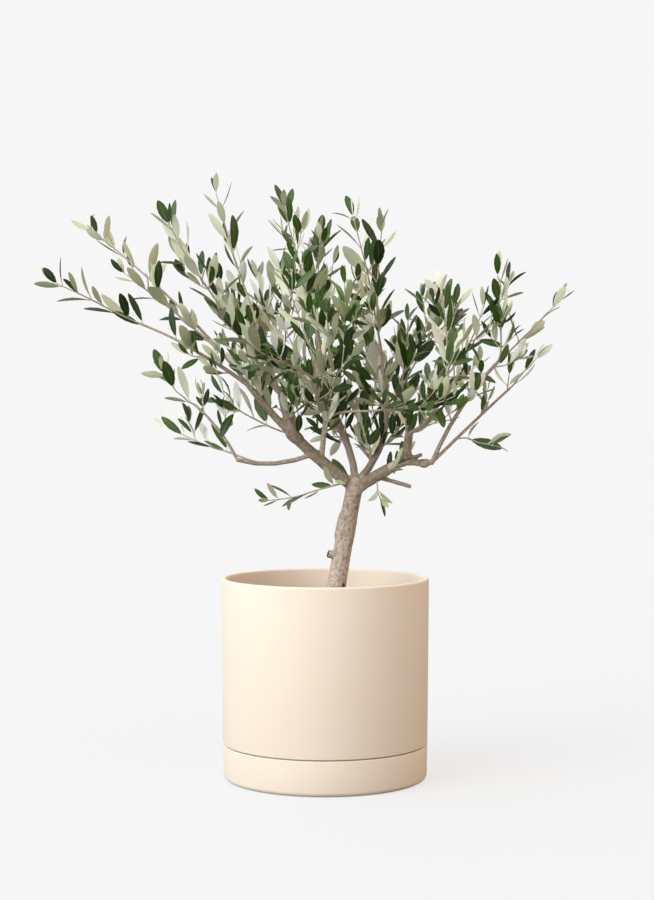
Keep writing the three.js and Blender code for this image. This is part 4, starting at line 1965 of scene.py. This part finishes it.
    def shoots_mesh(self, name: str, paths: Sequence[Path]) -> bpy.types.Object:
        """Sweeps a closed tube along every path, as one joined mesh.

        Args:
            name: The piece's name.
            paths: The shoots.

        Returns:
            The joined piece.
        """
        points, faces = [], []
        angles = np.linspace(0, 2 * math.pi, self.shoot_sides, endpoint=False)
        for path in paths:
            first = sum(len(ring) for ring in points)
            tangents = np.gradient(path.points, axis=0)
            side = side_of(unit(tangents[0]))
            for place, tangent, radius in zip(path.points, tangents, path.radii):
                heading = unit(tangent)
                side = unit(side - heading * float(np.dot(side, heading)))
                other = np.cross(heading, side)
                knob = 1.0 + self.knobbiness * self.rng.uniform(-1, 1)
                ring = np.outer(np.cos(angles), side) + np.outer(np.sin(angles), other)
                points.append(place + ring * radius * knob)
            rings, sides = len(path.points), self.shoot_sides
            for ring in range(rings - 1):
                low = first + ring * sides
                for corner in range(sides):
                    ahead = (corner + 1) % sides
                    band = (corner, ahead, sides + ahead, sides + corner)
                    faces.append(tuple(low + place for place in band))
            faces.append(tuple(first + corner for corner in reversed(range(sides))))
            faces.append(tuple(first + (rings - 1) * sides + corner for corner in range(sides)))
        piece = piece_of(name, points, faces)
        bpy.ops.object.shade_smooth()
        return piece

    def leaves_mesh(self, name: str, leaves: Sequence[Leaf]) -> bpy.types.Object:
        """Lays out leaves as one joined mesh.

        Args:
            name: The piece's name.
            leaves: The leaves.

        Returns:
            The joined piece.
        """
        model = self.leaf_shape
        faces = []
        for index in range(len(leaves)):
            first = index * len(model.points)
            faces.extend([first + corner for corner in face] for face in model.faces)
        piece = piece_of(name, [leaf.laid(model.points) for leaf in leaves], faces)
        piece.data.polygons.foreach_set("material_index", model.finish * len(leaves))
        bpy.ops.object.shade_smooth_by_angle(angle=self.leaf_crease)
        return piece

    def dress(self) -> None:
        """Builds and settles the twigs, and the leaves of each tone."""
        masses = nodes_of("foliage")
        for name, paths, bark in (
            ("grown_twigs", self.grown, GROWN_TWIG),
            ("young_twigs", self.young, YOUNG_TWIG),
        ):
            piece = self.shoots_mesh(name, paths)
            piece.data.materials.append(bark.make())
            settle(piece, [])
        for tone in Tone:
            leaves = [leaf for leaf in self.leaves if leaf.tone is tone]
            if leaves:
                piece = self.leaves_mesh(f"leaves_{tone.name.lower()}", leaves)
                for material in LeafSkin().make(tone):
                    piece.data.materials.append(material)
                settle(piece, masses)


# ---------------------------------------------------------------------------------------------
# Studio
# ---------------------------------------------------------------------------------------------


@dataclass
class Studio:
    """A pale floor, soft light from the upper left, a narrow fill on the trunk, and the camera."""

    camera_place: tuple[float, float, float] = (0.00197, -2.25383, 0.45740)
    camera_pitch: float = -0.0273164
    lens: float = 74.81
    floor_size: float = 60.0
    backdrop: float = 0.925
    floor_white: Colour = (0.220, 0.2295, 0.220)
    floor_glow: float = 0.645
    left_light: Colour = (1.17, 1.34, 1.72)
    right_light: Colour = (0.91, 0.59, 0.30)
    light_side: tuple[float, float, float] = (0.85, 0.42, -0.10)
    key: float = 1.58
    key_colour: Colour = (1.0, 0.985, 0.96)
    key_turn: tuple[float, float, float] = (math.radians(33.4), math.radians(-57), 0.0)
    key_spread: float = math.radians(45)
    fill: float = 8.0
    fill_size: float = 0.20
    fill_angle: float = math.radians(22)
    fill_place: tuple[float, float, float] = (-0.98, -0.58, 0.52)
    fill_target: tuple[float, float, float] = (0.04, 0.04, 0.28)

    def build(self) -> None:
        """Builds the whole studio."""
        self.add_floor()
        self.add_world()
        self.add_key()
        self.add_fill()
        self.add_camera()
        bpy.context.scene.view_settings.view_transform = "Standard"

    def add_floor(self) -> None:
        """Adds the pale floor that the saucer stands on."""
        deselect_all()
        bpy.ops.mesh.primitive_plane_add(size=self.floor_size)
        floor = bpy.context.active_object
        floor.name = "studio_floor"
        paper = Finish("studio_paper", self.floor_white, 1.0, 0.0)
        paper.plain({"Emission Color": (1.0, 1.0, 1.0, 1.0)})
        ray = paper.node("ShaderNodeLightPath").outputs["Is Camera Ray"]
        paper.feed("Emission Strength", paper.times(ray, self.floor_glow))
        floor.data.materials.append(paper.material)

    def add_world(self) -> None:
        """Adds the even backdrop and, apart from it, the soft light that comes from the left."""
        world = bpy.data.worlds.new("studio")
        bpy.context.scene.world = world
        world.use_nodes = True
        tree = world.node_tree
        tree.nodes.clear()
        backdrop = (self.backdrop, self.backdrop, self.backdrop * 0.998, 1.0)
        seen = add_node(tree, "ShaderNodeBackground", {"Color": backdrop}).outputs["Background"]
        place = add_node(tree, "ShaderNodeTexCoord").outputs["Generated"]
        facing = add_node(
            tree, "ShaderNodeVectorMath", {0: place, 1: self.light_side}, operation="DOT_PRODUCT"
        ).outputs["Value"]
        slope = add_node(
            tree, "ShaderNodeMapRange", {"Value": facing, "From Min": -1.0, "From Max": 1.0}
        ).outputs["Result"]
        sides = {"A": (*self.left_light, 1.0), "B": (*self.right_light, 1.0)}
        tint = add_node(
            tree, "ShaderNodeMix", {"Factor": slope, **sides}, data_type="RGBA"
        ).outputs["Result"]
        lit = add_node(tree, "ShaderNodeBackground", {"Color": tint}).outputs["Background"]
        ray = add_node(tree, "ShaderNodeLightPath").outputs["Is Camera Ray"]
        mix = add_node(tree, "ShaderNodeMixShader", {"Fac": ray, 1: lit, 2: seen})
        add_node(tree, "ShaderNodeOutputWorld", {"Surface": mix.outputs["Shader"]})

    def add_key(self) -> None:
        """Adds the broad key light, high on the left and a little to the front."""
        deselect_all()
        bpy.ops.object.light_add(type="SUN")
        light = bpy.context.active_object
        light.name = "key_light"
        light.data.energy = self.key
        light.data.angle = self.key_spread
        light.data.color = self.key_colour
        light.rotation_euler = self.key_turn

    def add_fill(self) -> None:
        """Adds a soft narrow light on the trunk and the planter's inside, under the crown."""
        deselect_all()
        bpy.ops.object.light_add(type="SPOT", location=self.fill_place)
        light = bpy.context.active_object
        light.name = "fill_light"
        light.data.energy = self.fill
        light.data.shadow_soft_size = self.fill_size
        light.data.spot_size = self.fill_angle
        light.data.spot_blend = 1.0
        towards = Vector(self.fill_target) - Vector(self.fill_place)
        light.rotation_euler = towards.to_track_quat("-Z", "Y").to_euler()

    def add_camera(self) -> None:
        """Adds the camera, level with the crown and looking very slightly down."""
        deselect_all()
        bpy.ops.object.camera_add(location=self.camera_place)
        camera = bpy.context.active_object
        camera.rotation_euler = (math.pi / 2 + self.camera_pitch, 0, 0)
        camera.data.lens = self.lens
        bpy.context.scene.camera = camera


def write_sizes() -> None:
    """Brings the scene's placements up to date."""
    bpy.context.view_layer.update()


def main() -> None:
    """Builds the studio, the planter, the wood and the crown, in that order."""
    Studio().build()
    sizes = PotSizes()
    clay = Stoneware().make()
    for ware in (sizes.saucer(), sizes.planter()):
        ware.dress(ware.build(), clay)
    soil = Soil(sizes)
    soil.dress(soil.build())
    wood = Wood()
    wood.dress(wood.build())
    leaf_shape = LeafShape()
    leaf_shape.build()
    crown = Crown(wood, leaf_shape)
    crown.grow()
    crown.dress()
    write_sizes()


if __name__ == "__main__":
    logging.basicConfig(level=logging.INFO, format="%(message)s")
    main()
